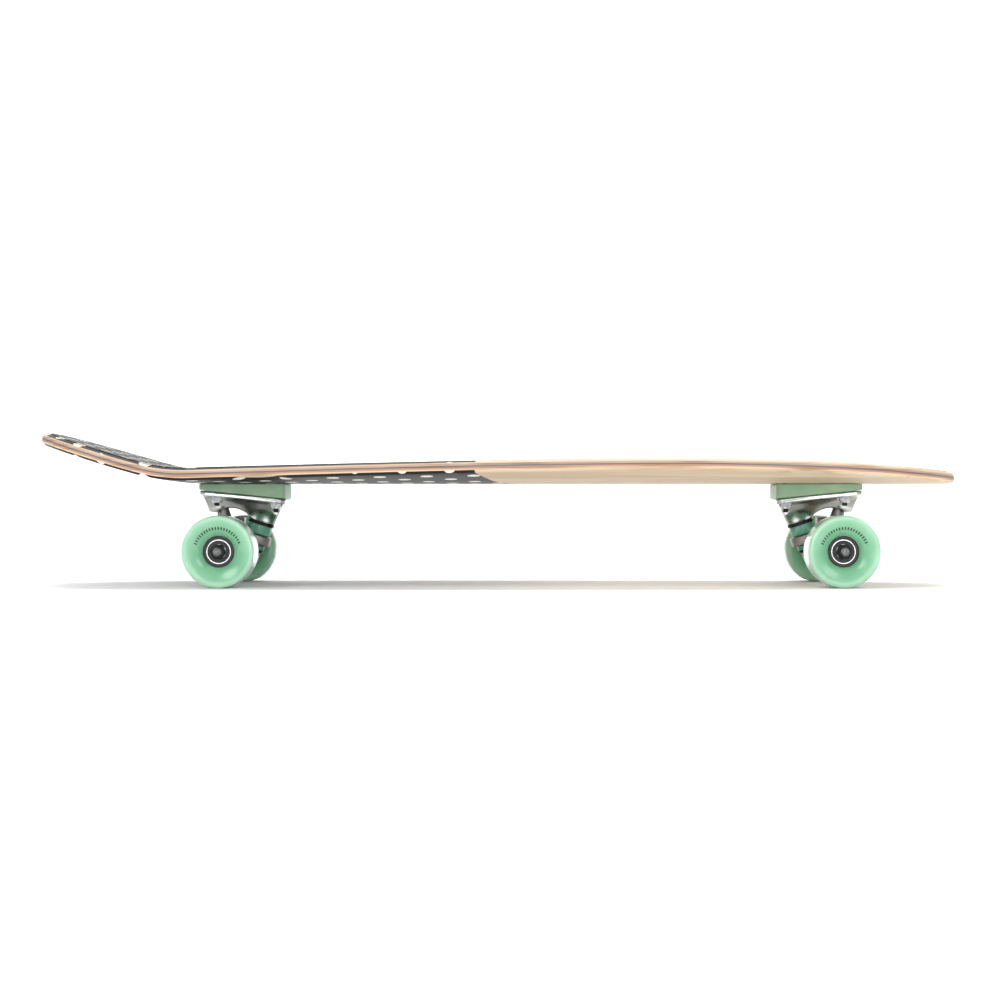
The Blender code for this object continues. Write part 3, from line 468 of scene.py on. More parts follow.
def to_board(points, end):
    """Places in a truck's plate frame turned and moved to where that truck sits under the board."""
    truck_x, way = TRUCKS[end]
    x = points[..., 0] * math.cos(PLATE_TILT) - points[..., 2] * math.sin(PLATE_TILT)
    z = points[..., 0] * math.sin(PLATE_TILT) + points[..., 2] * math.cos(PLATE_TILT)
    return np.stack((truck_x + way * x, way * points[..., 1], PLATE_TOP + z), -1)


def blend_in(first, second, fillet):
    """Union of two distance fields with a fillet of about that size where they meet."""
    mix = np.clip(0.5 + 0.5 * (second - first) / fillet, 0, 1)
    return second * (1 - mix) + first * mix - fillet * mix * (1 - mix)


def cut_out(solid, tool, edge):
    """Solid less a tool's field, with its edge eased."""
    return -blend_in(-solid, tool, edge)


def rod(p, centre, axis, radius, low, high, edge=0.6):
    """Distance to a cylinder between two heights along an axis, its rims rounded by edge."""
    rest = p - centre
    along = rest @ axis
    out = np.linalg.norm(rest - along[..., None] * axis, axis=-1)
    side = out - radius + edge
    cap = np.abs(along - (low + high) / 2) - (high - low) / 2 + edge
    return np.minimum(np.maximum(side, cap), 0) + np.hypot(np.maximum(side, 0), np.maximum(cap, 0)) - edge


def cone_rod(p, start, end, first, last):
    """Distance to a round-ended taper between two points with a radius at each."""
    line = end - start
    share = np.clip((p - start) @ line / (line @ line), 0, 1)
    return np.linalg.norm(p - start - share[..., None] * line, axis=-1) - (first + (last - first) * share)


def side_prism(p, outline, reach, edge):
    """Distance to an outline seen from the side, between two sloped flanks at |y| = reach(x, z)."""
    x, z = p[..., 0], p[..., 2]
    nearest = np.full(x.shape, 1e9)
    inside = np.zeros(x.shape, bool)
    for (ax, az), (bx, bz) in zip(outline, np.roll(outline, -1, 0)):
        ex, ez = bx - ax, bz - az
        share = np.clip(((x - ax) * ex + (z - az) * ez) / (ex * ex + ez * ez), 0, 1)
        nearest = np.minimum(nearest, (x - ax - share * ex) ** 2 + (z - az - share * ez) ** 2)
        if abs(ez) > 1e-9:
            crosses = ((az > z) != (bz > z)) & (x < ax + ex * (z - az) / ez)
            inside ^= crosses
    flat = np.where(inside, -1, 1) * np.sqrt(nearest)
    flank = (np.abs(p[..., 1]) - reach(x, z)) * 0.92
    return -blend_in(-flat, -flank, edge)


def casting(field, low, high, pitch):
    """Skin of a distance field: one point in each cell that it crosses, joined to its neighbours.

    The point starts at the mean of the crossings on the cell's edges, then moves along the field's slope
    until the field is nought there.
    """
    axes = [np.arange(a, b + pitch, pitch) for a, b in zip(low, high)]
    grid = np.stack(np.meshgrid(*axes, indexing="ij"), -1)
    value = field(grid)
    inside = value < 0
    shape = np.array(value.shape) - 1
    total = np.zeros((*shape, 3))
    hits = np.zeros(tuple(shape))

    def corner(array, offset):
        cut_at = tuple(slice(o, o + n) for o, n in zip(offset, shape))
        return array[cut_at]

    for axis in range(3):
        others = [a for a in range(3) if a != axis]
        for first in (0, 1):
            for second in (0, 1):
                start = [0, 0, 0]
                start[others[0]], start[others[1]] = first, second
                stop = list(start)
                stop[axis] = 1
                a, b = corner(value, start), corner(value, stop)
                crossed = (a < 0) != (b < 0)
                way = np.where(crossed, a / np.where(crossed, a - b, 1), 0)
                spot = corner(grid, start) + way[..., None] * pitch * np.eye(3)[axis]
                total += np.where(crossed[..., None], spot, 0)
                hits += crossed
    live = hits > 0
    number = np.full(tuple(shape), -1)
    number[live] = np.arange(live.sum())
    points = total[live] / hits[live][:, None]
    faces = []
    for axis in range(3):
        u, v = [a for a in range(3) if a != axis]
        near = np.take(inside, np.arange(shape[axis]), axis)
        far = np.take(inside, np.arange(1, shape[axis] + 1), axis)
        at = np.argwhere(near != far)
        at = at[(at[:, u] > 0) & (at[:, v] > 0) & (at[:, u] < shape[u]) & (at[:, v] < shape[v])]
        ring = []
        for du, dv in ((1, 1), (0, 1), (0, 0), (1, 0)):
            cell = at.copy()
            cell[:, u] -= du
            cell[:, v] -= dv
            ring.append(number[tuple(cell.T)])
        faces.append(np.stack(ring, -1))
    for _ in range(2):
        here = field(points)
        steps = 0.05 * np.eye(3)
        slope = np.stack([(field(points + step) - field(points - step)) / 0.1 for step in steps], -1)
        size = np.maximum((slope ** 2).sum(-1), 0.2)
        points = points - np.clip(here / size, -pitch / 2, pitch / 2)[:, None] * slope
    return points, np.vstack(faces)


# The cast body seen from the side: the boss inboard, then the arch, highest at its crown, then the housing.
ARCH_CROWN, ARCH_TOP, ARCH_CURVE, ARCH_LEAN = 13.0, -13.2, 0.0165, 0.0004
arch = []
for x in np.linspace(-2.0, 24.6, 12):
    inboard = max(0.0, ARCH_CROWN - x)
    arch.append((x, ARCH_TOP - ARCH_CURVE * (x - ARCH_CROWN) ** 2 - ARCH_LEAN * inboard ** 3))
PLATE_SIDE = np.vstack(([(-35.0, -2.0), (-26.4, -25.2), (-4.0, -19.85)], arch,
                        [(26.6, -19.0), (34.6, -18.7), (42.0, -2.0)]))


def plate_flank(x, z):
    """Half width of the cast body: it flares by an exponential up to the slab and narrows outboard."""
    return 8.5 + 11.0 * np.exp((z + PLATE_THICK) / 8.0) - 0.1 * x


def plate_field(p):
    """Slab, flared body, round boss over the kingpin and round housing over the pivot, filleted together."""
    x, y, z = p[..., 0], p[..., 1], p[..., 2]
    front = PLATE_FRONT - OVERHANG
    qx = np.abs(x - (PLATE_BACK + front) / 2) - (front - PLATE_BACK) / 2 + PLATE_CORNER
    qy = np.abs(y) - PLATE_HALF + PLATE_CORNER
    plan_gap = np.hypot(np.maximum(qx, 0), np.maximum(qy, 0)) + np.minimum(np.maximum(qx, qy), 0)
    slab = -blend_in(PLATE_CORNER - plan_gap, PLATE_THICK / 2 - np.abs(z + PLATE_THICK / 2), 1.6)
    solid = blend_in(slab, side_prism(p, PLATE_SIDE, plate_flank, 1.6), 2.4)
    solid = blend_in(solid, rod(p, KING_FACE, KING_DOWN, BOSS_RADIUS, -14.0, 0.0, 0.8), 3.0)
    housing = rod(p, PIVOT, NOSE_DOWN, HOUSING_RADIUS, -8.0, 4.2, 0.8)
    solid = blend_in(solid, np.maximum(housing, z + 0.6), 2.4)
    for along in (BOLT_X, -BOLT_X):
        seat = np.array((along * math.cos(PLATE_TILT), 0, 0)) + LEVEL_UP * -SEAT_THICK
        for side in (1, -1):
            centre = seat + np.array((0, side * BOLT_Y, 0))
            solid = cut_out(solid, rod(p, centre, LEVEL_UP, SPOT_RADIUS, -20.0, 0.0, 0.6), 0.5)
            solid = cut_out(solid, rod(p, centre, LEVEL_UP, HOLE_RADIUS, -20.0, 9.0, 0.2), 0.3)
    solid = cut_out(solid, rod(p, PIVOT, NOSE_DOWN, 7.3, -6.5, 20.0, 0.4), 0.4)
    solid = cut_out(solid, rod(p, KING_FACE, KING_DOWN, 5.2, -14.0, 20.0, 0.2), 0.4)
    solid = cut_out(solid, rod(p, KING_FACE, -KING_DOWN, 9.2, 10.7, 40.0, 0.4), 0.4)
    return np.maximum(solid, z)


# Polished cast aluminium: bright mirror-like metal with faint haze, shallow casting waves and a few pits.
cast_metal, tree, shader = finish_of("aluminium_cast_polished", Metallic=1.0, Roughness=0.16)
haze = noise(tree, 70.0, 5.0, 0.0, 0.6)
metal_tint = ramp(tree, haze, ((0.3, "#b9bcbb"), (0.6, "#d4d6d4"), (0.8, "#e6e7e5")))
waves = add(tree, "ShaderNodeMix", {0: 0.25, 2: haze, 3: noise(tree, 420.0, 2.0)}, data_type="FLOAT")
dress(tree, shader, metal_tint, haze, (0.3, 0.75, 0.10, 0.26), (0.18, 0.0006, waves.outputs[0]))

# Cell size of the castings' skins, in millimetres.
CAST_PITCH = 0.62
plate_points, plate_faces = casting(plate_field, (-39.0, -29.5, -28.5), (43.0, 29.5, 1.4), CAST_PITCH)
for end in TRUCKS:
    placed = to_board(plate_points, end)
    plate = body_of_faces(end + "_cast_baseplate", placed, plate_faces, cast_metal, 50, {})
    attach(plate, "root")
    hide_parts(end + "_baseplate")


# ---- Pivot cups: black nylon cups pressed into the housings; the hangers' noses turn in them.
def turned(profile, sides=64, flats=None, closed=False):
    """Profile of (radius, height) carried round Z; with flats, nowhere further out than that hexagon."""
    profile = np.asarray(profile, float)
    angle = np.linspace(0, math.tau, sides, endpoint=False)
    radius = np.repeat(profile[:, :1], sides, 1)
    if flats:
        off = (angle + math.pi / 6) % (math.pi / 3) - math.pi / 6
        radius = np.minimum(radius, flats / 2 / np.cos(off))
    height = np.repeat(profile[:, 1:], sides, 1)
    return np.stack((radius * np.cos(angle), radius * np.sin(angle), height), -1)


def aimed(points, centre, axis):
    """Points about Z moved to a centre and turned so that +Z looks along the axis, round side kept level."""
    axis = np.asarray(axis, float) / np.linalg.norm(axis)
    side = np.cross((0.0, 1.0, 0.0) if abs(axis[1]) < 0.9 else (1.0, 0.0, 0.0), axis)
    side /= np.linalg.norm(side)
    return centre + points[..., :1] * side + points[..., 1:2] * np.cross(axis, side) + points[..., 2:] * axis


# Moulded black nylon: deep grey, slightly uneven gloss with fine scuffs.
black_nylon = mottled(
    "nylon_black_moulded", (260.0, 4.0), ((0.35, "#141414"), (0.6, "#1f1f1f"), (0.8, "#303030")),
    (0.28, 0.55), bump=(0.12, 0.0002), Roughness=0.4)

cup_profile = soften(((0.0, -6.2), (7.0, -6.2), (7.0, 4.0), (6.3, 4.0), (5.0, 0.0), (5.0, -4.9),
                      (0.0, -4.9)), 0.4)
for end in TRUCKS:
    placed = to_board(aimed(turned(cup_profile), PIVOT, NOSE_DOWN), end)
    cup = surface(end + "_nylon_cup", placed, black_nylon, wrap_v=True)
    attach(cup, "root")
    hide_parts(end + "_pivot_cup")


# ---- Kingpin stack: a high-tensile bolt put in from below, with cupped steel washers and two bushings
# poured in teal urethane; the hanger's ring is squeezed between the bushings, which spring it back.
# Blackened steel: oily near-black oxide that rubs brown-grey on edges.
black_oxide = mottled(
    "steel_black_oxide", (180.0, 5.0), ((0.35, "#1c1c1e"), (0.6, "#2b2b2d"), (0.78, "#4a4948")),
    (0.22, 0.5), bump=(0.1, 0.0002), Metallic=0.85, Roughness=0.34)

# Poured urethane bushing: waxy, semi-clear teal with soft edges and faint swirls.
teal_urethane = mottled(
    "urethane_teal_poured", (120.0, 3.0, 1.2),
    ((0.3, "#4f8f78"), (0.55, "#62a189"), (0.8, "#7cb79f")), (0.24, 0.42),
    Roughness=0.32, Subsurface_Weight=0.25, Subsurface_Scale=0.002, Subsurface_Radius=(0.4, 1.0, 0.8))

# Bores of the bushings at the washer and at the ring, which moves; and, for each bushing that the ring
# squeezes, two heights down the kingpin.
BUSHING_BORE, RING_END_BORE, KING_FLATS = 5.2, 6.4, 14.3
SQUEEZED = {"boardside_bushing": (4.0, 12.2), "roadside_bushing": (26.2, 21.8)}
stack = {
    "boardside_washer": (black_oxide, "black_steel", 0.35, (
        (BUSHING_BORE, 0.3), (11.4, 0.3), (12.3, 1.2), (12.3, 3.2), (11.5, 3.2), (11.2, 2.2),
        (BUSHING_BORE, 2.2))),
    "boardside_bushing": (teal_urethane, "bushing_urethane", 1.0, (
        (BUSHING_BORE, 2.4), (10.6, 2.4), (11.0, 3.6), (11.25, 7.2), (11.0, 11.2), (10.2, 12.4),
        (RING_END_BORE, 12.4))),
    "roadside_bushing": (teal_urethane, "bushing_urethane", 0.7, (
        (RING_END_BORE, 21.6), (9.4, 21.6), (9.8, 22.6), (9.4, 25.2), (8.9, 26.5), (BUSHING_BORE, 26.5))),
    "roadside_washer": (black_oxide, "black_steel", 0.3, (
        (BUSHING_BORE, 26.8), (8.8, 26.8), (9.1, 25.6), (9.7, 25.6), (9.7, 27.8), (8.9, 28.6),
        (BUSHING_BORE, 28.6))),
}
for end in TRUCKS:
    for label, (material, slot, ease, corners) in stack.items():
        profile = soften(corners, ease, closed=True)
        points = to_board(aimed(turned(profile), KING_FACE, KING_DOWN), end)
        piece = surface(f"{end}_{label}_turned", points, material, wrap_u=True, wrap_v=True)
        if label in SQUEEZED:
            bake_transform(piece)
        else:
            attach(piece, "root")
        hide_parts(f"{end}_{label}")
    head = soften(((4.75, -20.5), (4.75, 28.9), (8.0, 28.9), (8.35, 29.5), (8.35, 34.8), (7.3, 36.0),
                   (3.2, 36.0), (3.0, 35.4), (0.0, 35.4)), 0.25)
    head = np.vstack(((0.0, -20.5), head))
    points = to_board(aimed(turned(head, 72, flats=KING_FLATS), KING_FACE, KING_DOWN), end)
    pin = surface(end + "_kingpin_bolt", points, black_oxide, wrap_v=True, sharp=30)
    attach(pin, "root")
    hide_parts(end + "_kingpin")


# ---- Mounting hardware: countersunk black screws put in through the grip, each with a zinc-plated nut whose
# nylon collar stops it shaking loose.
# Zinc plate: cool bright grey with a fine spangle and dulled spots.
zinc = mottled(
    "steel_zinc_plated", (300.0, 4.0), ((0.3, "#a5a8ab"), (0.6, "#c6c8ca"), (0.8, "#dddedf")),
    (0.16, 0.38), Metallic=1.0, Roughness=0.26)

SCREW_TOP = DECK_TOP + GRIP_LIFT + GRIP_THICK
SCREW_LENGTHS, SCREW_RADIUS, SOCKET_FLATS, NUT_FLATS = {True: 32.0, False: 38.0}, 2.4, 3.2, 9.5
screw_head = soften(((2.4, -1.8), (1.9, 0.0), (4.4, 0.0), (4.6, -0.3), (SCREW_RADIUS, -2.6)), 0.15)
nut_profile = soften(((2.5, -5.6), (3.9, -5.6), (4.35, -5.2), (4.35, -4.0), (5.0, -3.9), (5.5, -3.4),
                      (5.5, -0.5), (5.0, 0.0), (2.5, 0.0)), 0.15, closed=True)
for end, (truck_x, way) in TRUCKS.items():
    number = 0
    for along in (BOLT_X, -BOLT_X):
        for side in (BOLT_Y, -BOLT_Y):
            number += 1
            place = np.array((truck_x + way * along, way * side, 0.0))
            length = SCREW_LENGTHS[along > 0]
            profile = np.vstack((((0.0, -1.9), (1.75, -1.9)), screw_head[4:],
                                 ((SCREW_RADIUS, 0.6 - length), (1.9, -length), (0.0, -length))))
            points = turned(profile, 48)
            points[:2] = turned(profile[:2], 48, flats=SOCKET_FLATS)
            points = points + place + (0, 0, SCREW_TOP)
            screw = surface(f"{end}_countersunk_screw_{number}", points, black_oxide, wrap_v=True, sharp=30)
            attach(screw, "root")
            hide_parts(f"{end}_bolt_{number}")
            underside = PLATE_TOP + along * math.tan(PLATE_TILT) - PLATE_THICK / math.cos(PLATE_TILT)
            seat = underside + PLATE_THICK - SEAT_THICK - GAP
            points = turned(nut_profile, 72, flats=NUT_FLATS) + place + (0, 0, seat)
            nut = surface(f"{end}_nylon_lock_nut_{number}", points, zinc, wrap_u=True, wrap_v=True, sharp=30)
            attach(nut, "root")
            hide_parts(f"{end}_lock_nut_{number}")
    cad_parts[end + "_kingpin_nut"].data.materials.clear()
    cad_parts[end + "_kingpin_nut"].data.materials.append(zinc)


# ---- Hangers: the other half of each truck, cast in the same aluminium: axle beam, yoke, kingpin ring and
# pivot nose in one, with a pocket under the ring where the lower bushing and washer sit.
# The wheels' radius and how far outboard of the plate's middle the axle runs set where it is; then the
# beam's half length and radii, the yoke seen from the side, and the ring on the kingpin.
WHEEL_R, AXLE_OUT = 32.0, 15.0
AXLE_DROP = WHEEL_R - PLATE_TOP
AXLE = np.array((AXLE_OUT * math.cos(PLATE_TILT) + AXLE_DROP * math.sin(PLATE_TILT), 0.0,
                 AXLE_DROP * math.cos(PLATE_TILT) - AXLE_OUT * math.sin(PLATE_TILT)))
BEAM_HALF = 63.7
YOKE_SIDE = np.array(((1.8, -20.6), (12.0, -21.4), (22.0, -24.0), (26.0, -29.0), (18.0, -52.0),
                      (2.0, -52.0)))
ACROSS = np.array((0.0, 1.0, 0.0))
SCOOP, SCOOP_RADIUS = (27.5, 11.0, -41.0), 8.2
RING_RADIUS, RING_TOP, RING_FOOT = 13.5, 12.6, 21.4
POCKET_RADIUS, POCKET_SLIDE = 10.6, 2.6


def hanger_field(p):
    """Beam, collars, yoke, ring and nose, filleted together, less the bushing pocket and the clearances."""
    y = np.abs(p[..., 1])
    rest = p - AXLE
    out = np.hypot(rest[..., 0], rest[..., 2])
    bulge = 7.3 + 1.5 * np.exp(-(y / 30.0) ** 2)
    beam = np.maximum(out - bulge, y - BEAM_HALF)
    mirrored = np.stack((p[..., 0], y, p[..., 2]), -1)
    collar = rod(mirrored, AXLE, ACROSS, 8.4, BEAM_HALF - 4.0, BEAM_HALF, 0.5)
    solid = blend_in(beam, collar, 1.6)
    yoke = side_prism(p, YOKE_SIDE, lambda a, b: 8.5 + 0.5 * (-20.6 - b) - 0.05 * a, 2.6)
    scoop = np.linalg.norm(mirrored - SCOOP, axis=-1) - SCOOP_RADIUS
    yoke = cut_out(yoke, scoop, 1.6)
    solid = blend_in(solid, yoke, 4.0)
    ring = rod(p, KING_FACE, KING_DOWN, RING_RADIUS, RING_TOP, RING_FOOT, 1.2)
    solid = blend_in(solid, ring, 3.2)
    apron = cone_rod(p, KING_FACE + KING_DOWN * 18.0 + (6.0, 0, 0), AXLE, 9.5, 8.0)
    solid = blend_in(solid, apron, 3.0)
    nose = cone_rod(p, PIVOT, PIVOT + NOSE_DOWN * 15.0, 4.6, 7.0)
    solid = blend_in(solid, nose, 2.0)
    king = p - KING_FACE
    along = king @ KING_DOWN
    across = king - along[..., None] * KING_DOWN
    sideways = np.maximum(np.abs(across[..., 1]) - POCKET_SLIDE, 0)
    radial = np.hypot(np.linalg.norm(across * (1, 0, 1), axis=-1), sideways)
    pocket = np.maximum(radial - POCKET_RADIUS, RING_FOOT - along)
    solid = cut_out(solid, pocket, 0.7)
    solid = cut_out(solid, rod(p, KING_FACE, KING_DOWN, 13.1, -6.0, RING_TOP, 0.3), 0.5)
    return cut_out(solid, rod(p, KING_FACE, KING_DOWN, 7.0, 10.0, 24.0, 0.2), 0.6)


# Tumbled casting: the same aluminium left dull, grey with a warm cast, grainy and unevenly worn.
tumbled_metal = mottled(
    "aluminium_cast_tumbled", (95.0, 6.0, 0.0, 0.65),
    ((0.3, "#6d6866"), (0.55, "#8d8886"), (0.8, "#a5a19e")), (0.3, 0.75, 0.28, 0.5),
    bump=(0.25, 0.0003), fine=(650.0, 2.0), Metallic=1.0, Roughness=0.38)

hanger_points, hanger_faces = casting(hanger_field, (-25.5, -66.0, -61.5), (31.5, 66.0, -4.5),
                                      CAST_PITCH * 1.15)
for end in TRUCKS:
    placed = to_board(hanger_points, end)
    hanger = body_of_faces(end + "_cast_hanger", placed, hanger_faces, tumbled_metal, 50, {})
    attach(hanger, end + "_hanger_body")
    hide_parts(end + "_hanger")


# ---- Axles: cold-drawn steel pressed through the hanger's beam, threaded at both ends for the axle nuts.
AXLE_RADIUS, AXLE_HALF, AXLE_CHAMFER = 3.95, 100.0, 0.8
THREAD_PITCH, THREAD_FROM, THREAD_DEPTH = 1.06, 88.5, 0.42
height = np.concatenate((-np.linspace(AXLE_HALF, THREAD_FROM, 90), np.linspace(THREAD_FROM, AXLE_HALF, 90)))
angle = np.linspace(0, math.tau, 40, endpoint=False)
phase = height[:, None] / THREAD_PITCH + angle[None] / math.tau
ridge = np.abs((phase % 1) * 2 - 1)
chamfer = np.clip(AXLE_HALF - np.abs(height), 0, AXLE_CHAMFER)[:, None]
threaded = np.abs(height)[:, None] > THREAD_FROM + 0.01
radius = AXLE_RADIUS - THREAD_DEPTH * ridge * threaded - (AXLE_CHAMFER - chamfer) * 0.9
spindle = np.stack((radius * np.cos(angle), radius * np.sin(angle), height[:, None] + 0 * angle), -1)
tip = np.zeros((1, 40, 3))
spindle = np.vstack((tip + (0, 0, -AXLE_HALF), spindle, tip + (0, 0, AXLE_HALF)))
# Cold-drawn steel, phosphated: dull mid grey, mottled, with brighter rubbed crests on the threads.
drawn_steel = mottled(
    "steel_cold_drawn_phosphated", (420.0, 4.0),
    ((0.3, "#4b4b4c"), (0.6, "#6f6f70"), (0.8, "#8e8e8e")), (0.3, 0.52), Metallic=0.9, Roughness=0.4)
for end in TRUCKS:
    placed = to_board(aimed(spindle, AXLE, ACROSS), end)
    axle = surface(end + "_steel_axle", placed, drawn_steel, wrap_v=True, sharp=30)
    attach(axle, end + "_hanger_body")
    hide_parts(end + "_axle")


# ---- Wheels: mint urethane poured round a black nylon core that holds two sealed ball bearings, one in each
# end. A thin steel ring either side keeps the spinning parts off the hanger and off the axle nut.
WHEEL_Y, BEARING_Y, AXLE_NUT_FLATS = 77.0, 8.5, 12.7
# Printed bars: how far round from the top they run, how many per radian, and between which radii.
BAR_ARC, BARS_PER_RADIAN, BAR_INNER, BAR_OUTER = math.radians(72), 8.0, 19.3, 21.9


def smooth_path(path, steps):
    """Catmull-Rom curve through the points of an open path."""
    path = np.asarray(path, float)
    padded = np.vstack((2 * path[0] - path[1], path, 2 * path[-1] - path[-2]))
    t = np.linspace(0, 1, steps, endpoint=False)[:, None]
    runs = []
    for a, b, c, d in zip(padded, padded[1:], padded[2:], padded[3:]):
        runs.append(0.5 * (2 * b + (c - a) * t + (2 * a - 5 * b + 4 * c - d) * t ** 2
                           + (3 * b - a - 3 * c + d) * t ** 3))
    return np.vstack(runs + [path[-1:]])


# Poured urethane: glossy, slightly clear mint, deeper in colour over the face and paler towards the rim,
# where the pale lips are a painted highlight, with a ring of plain printed bars on the outer face.
mint, tree, shader = finish_of(
    "urethane_mint_poured", Roughness=0.2, Subsurface_Weight=0.7, Subsurface_Scale=0.008,
    Subsurface_Radius=(0.5, 1.0, 0.7), Coat_Weight=0.35, Coat_Roughness=0.08)
spot = add(tree, "ShaderNodeAttribute", attribute_name="wheel_place").outputs["Vector"]
axes = add(tree, "ShaderNodeSeparateXYZ", {0: spot})
reach = vectors(tree, "LENGTH", vectors(tree, "MULTIPLY", spot, (1.0, 1.0, 0.0)))
band = add(tree, "ShaderNodeMapRange", {0: reach, 1: 13.0, 2: WHEEL_R})
mint_and_lip_highlight_stops = ((0.0, "#86bd99"), (0.35, "#7dba95"), (0.7, "#8cc1a0"), (0.9, "#a6cbb3"), (1.0, "#b0cfbb"))
# Colour by radius from the core to the rim: the pale stops towards the rim are a painted highlight on the
# lips.
face_and_lip_highlight_tint = ramp(tree, band.outputs[0], mint_and_lip_highlight_stops)
milk = noise(tree, 60.0, 3.0, 0.8)
milk_tint = ramp(tree, milk, ((0.3, "#dfeee3"), (0.7, "#ffffff")))
body_tint = mixed(tree, 0.5, face_and_lip_highlight_tint, milk_tint, "MULTIPLY")
round_hub = maths(tree, "ARCTAN2", axes.outputs["X"], axes.outputs["Y"])
beat = maths(tree, "FRACT", maths(tree, "MULTIPLY", round_hub, BARS_PER_RADIAN))
mask = maths(tree, "LESS_THAN", maths(tree, "ABSOLUTE", round_hub), BAR_ARC)
for test, value, limit in (("LESS_THAN", beat, 0.5), ("GREATER_THAN", reach, BAR_INNER),
                           ("LESS_THAN", reach, BAR_OUTER), ("GREATER_THAN", axes.outputs["Z"], 5.0)):
    mask = maths(tree, "MULTIPLY", mask, maths(tree, test, value, limit))
inked = mixed(tree, mask, body_tint, linear("#16211b"))
dress(tree, shader, inked, milk, (0.16, 0.28))

# Ground bearing steel: bright, with the fine turning lines of the race faces.
race_steel = mottled("steel_bearing_ground", (500.0, 2.0), ((0.3, "#c4c4c6"), (0.7, "#eeeef0")),
                     (0.12, 0.28), Metallic=1.0, Roughness=0.18)

# Sections, as radius and height outwards from the wheel's or bearing's middle; the axle nut's height is
# from the board's middle.
outer_half = smooth_path(((13.9, 12.4), (16.5, 15.4), (20.0, 17.9), (24.3, 20.0), (27.9, 21.1), (30.1, 21.0),
                          (31.3, 20.0), (31.9, 18.2), (WHEEL_R, 15.0)), 6)
inner_half = smooth_path(((WHEEL_R, -9.5), (31.8, -12.5), (31.0, -15.6), (29.3, -17.8), (26.2, -18.8),
                          (22.0, -18.4), (17.5, -16.2), (13.9, -12.4)), 6)
tyre_profile = np.vstack((outer_half, ((WHEEL_R, 6.0), (WHEEL_R, -1.0)), inner_half,
                          ((13.9, -6.0), (13.9, 0.0), (13.9, 6.0))))
core_profile = soften(((11.2, 12.3), (13.3, 12.3), (13.6, 11.9), (13.6, -11.9), (13.3, -12.3), (11.2, -12.3),
                       (11.2, -4.7), (9.4, -4.7), (9.4, 4.7), (11.2, 4.7)), 0.25, closed=True)
race_profile = soften(((9.8, -3.5), (10.9, -3.5), (10.9, 3.5), (9.8, 3.5)), 0.3, closed=True)
inner_profile = soften(((4.1, -3.5), (6.0, -3.5), (6.0, 3.5), (4.1, 3.5)), 0.3, closed=True)
shield_profile = soften(((6.2, -3.0), (9.6, -3.0), (9.6, 2.7), (9.0, 2.9), (7.6, 2.75), (6.2, 3.1)), 0.2,
                        closed=True)
ring_profile = soften(((4.1, -0.4), (6.6, -0.4), (6.6, 0.4), (4.1, 0.4)), 0.12, closed=True)
axle_nut_profile = soften(((4.1, 90.1), (6.9, 90.1), (7.35, 90.7), (7.35, 93.2), (6.6, 93.9), (5.9, 94.1),
                           (5.7, 95.4), (5.2, 95.7), (4.1, 95.7)), 0.2, closed=True)
bearing_parts = (
    ("race", race_profile, race_steel, "bearing_steel"),
    ("bore_race", inner_profile, race_steel, "bearing_steel"),
    ("shield", shield_profile, black_nylon, "black_plastic"),
)
for end, (truck_x, way) in TRUCKS.items():
    for local_side in (1, -1):
        label = f"{end}_{'left' if local_side * way > 0 else 'right'}"
        body = label + "_wheel"
        outward = ACROSS * local_side
        centre = AXLE + ACROSS * local_side * WHEEL_Y
        tyre_points = to_board(aimed(turned(tyre_profile, 144), centre, outward), end)
        hub = to_board(centre, end)
        spot = tyre_points - hub
        marks = np.stack((spot[..., 0], spot[..., 2], spot[..., 1] * local_side * way), -1)
        tyre = surface(label + "_poured_tyre", tyre_points, mint, wrap_u=True, wrap_v=True,
                       wheel_place=marks)
        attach(tyre, body)
        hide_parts(label + "_tyre")
        points = to_board(aimed(turned(core_profile, 96), centre, outward), end)
        core = surface(label + "_nylon_core", points, black_nylon, wrap_u=True, wrap_v=True)
        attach(core, body)
        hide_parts(label + "_core")
        for side, away, ring_at in (("outer", 1, 12.55), ("inner", -1, -12.7)):
            name = side + "_bearing"
            seat = centre + outward * away * BEARING_Y
            for part, profile, material, slot in bearing_parts:
                points = to_board(aimed(turned(profile, 72), seat, outward * away), end)
                piece = surface(f"{label}_{name}_{part}", points, material, wrap_u=True, wrap_v=True)
                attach(piece, body)
                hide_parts(f"{label}_{name}")
            points = to_board(aimed(turned(ring_profile, 48), centre + outward * ring_at, outward), end)
            washer = surface(f"{label}_speed_ring_{side}", points, zinc, wrap_u=True, wrap_v=True)
            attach(washer, end + "_hanger_body")
        points = to_board(aimed(turned(axle_nut_profile, 72, flats=AXLE_NUT_FLATS), AXLE, outward), end)
        nut = surface(label + "_axle_lock_nut", points, black_oxide, wrap_u=True, wrap_v=True, sharp=30)
        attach(nut, end + "_hanger_body")
        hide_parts(label + "_axle_nut")


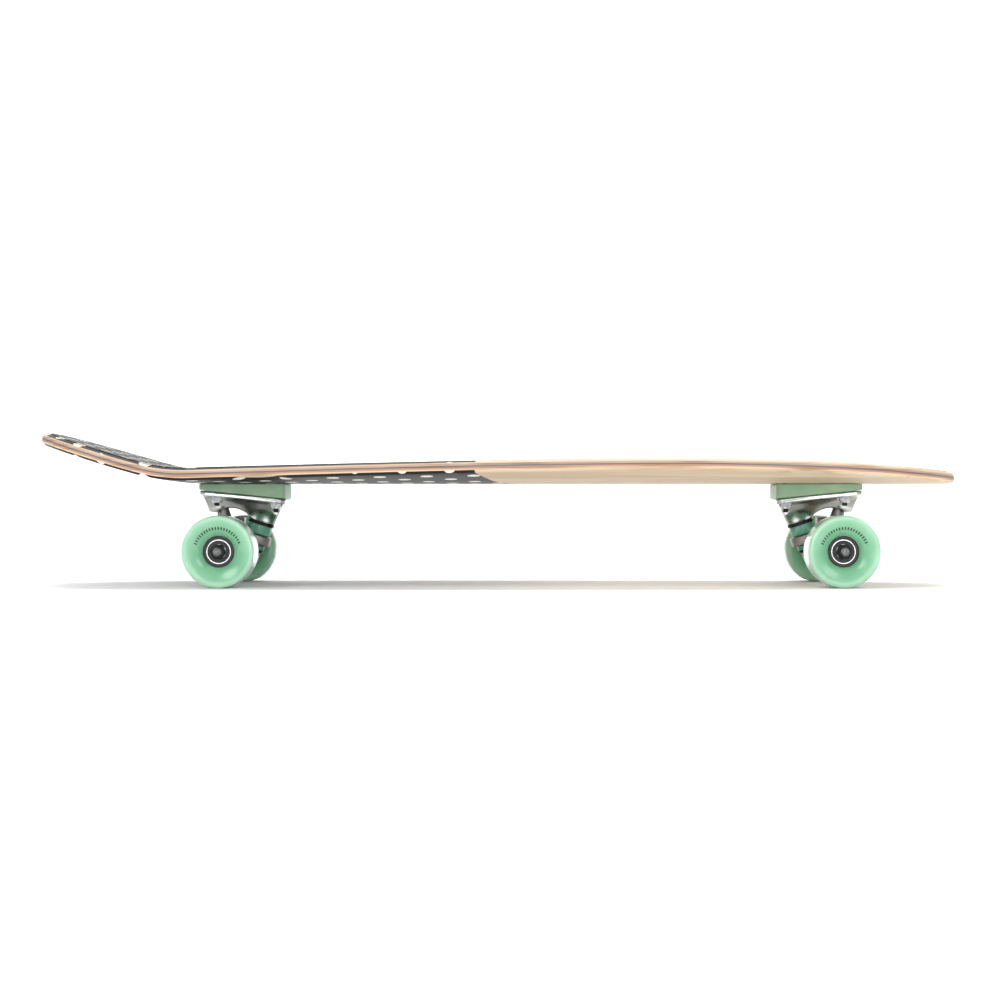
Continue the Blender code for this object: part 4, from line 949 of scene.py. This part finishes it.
# ---- Setting: a pale seamless sweep, four large softboxes, a light that washes the sweep behind the board,
# and a camera just under deck height.
# White background paper: matt, near white, so that it gives only soft bounce and a faint shadow.
paper, tree, shader = finish_of("paper_sweep_white", Roughness=0.9)
shader.inputs["Base Color"].default_value = linear("#f4f4f4")
sweep_x = np.linspace(-6000, 6000, 3)
sweep_turn = np.radians(np.linspace(0, 90, 16))
sweep_y = np.concatenate(((-6000.0, 2200.0), 2200 + 1500 * np.sin(sweep_turn[1:]), (3700.0,)))
sweep_z = np.concatenate(((0.0, 0.0), 1500 * (1 - np.cos(sweep_turn[1:])), (7000.0,)))
across_x, down_y = np.meshgrid(sweep_x, sweep_y)
sweep_points = np.stack((across_x, down_y, np.repeat(sweep_z[:, None], len(sweep_x), 1)), -1)
sweep = surface("paper_sweep", sweep_points, paper)

for name, place, aim, size, power in (
        # Name, place, aim, size and power of each light.
        ("softbox_left", (-1.5, -1.4, 1.5), (-0.1, 0, 0.1), 1.1, 16),
        ("softbox_right", (1.6, -1.2, 1.3), (0.1, 0, 0.1), 1.0, 9),
        ("softbox_top", (0.0, 0.3, 2.2), (0, 0, 0.1), 1.6, 16),
        ("softbox_front", (0.1, -2.8, 0.42), (0, 0, 0.05), 2.0, 34),
        ("wall_wash", (0.0, 0.9, 3.2), (0, 3.7, 0.9), 2.4, 150)):
    light = bpy.data.lights.new(name, "AREA")
    light.size = size
    light.energy = power
    lamp = bpy.data.objects.new(name, light)
    lamp.location = place
    towards = np.array(aim) - np.array(place)
    lamp.rotation_euler = Vector(towards).to_track_quat("-Z", "Y").to_euler()
    bpy.context.scene.collection.objects.link(lamp)

world = bpy.data.worlds.new("studio")
world.use_nodes = True
world.node_tree.nodes["Background"].inputs[0].default_value = (1, 1, 1, 1)
world.node_tree.nodes["Background"].inputs[1].default_value = 0.62
bpy.context.scene.world = world
bpy.context.scene.view_settings.view_transform = "Standard"

camera = bpy.data.cameras.new("camera")
camera.sensor_width = 36
camera.lens = 71.7
camera.shift_x = -0.0246
camera.shift_y = 0.0063
viewer = bpy.data.objects.new("camera", camera)
viewer.location = (0.02405, -1.84, 0.072)
viewer.rotation_euler = (math.pi / 2, 0, 0)
bpy.context.scene.collection.objects.link(viewer)
bpy.context.scene.camera = viewer
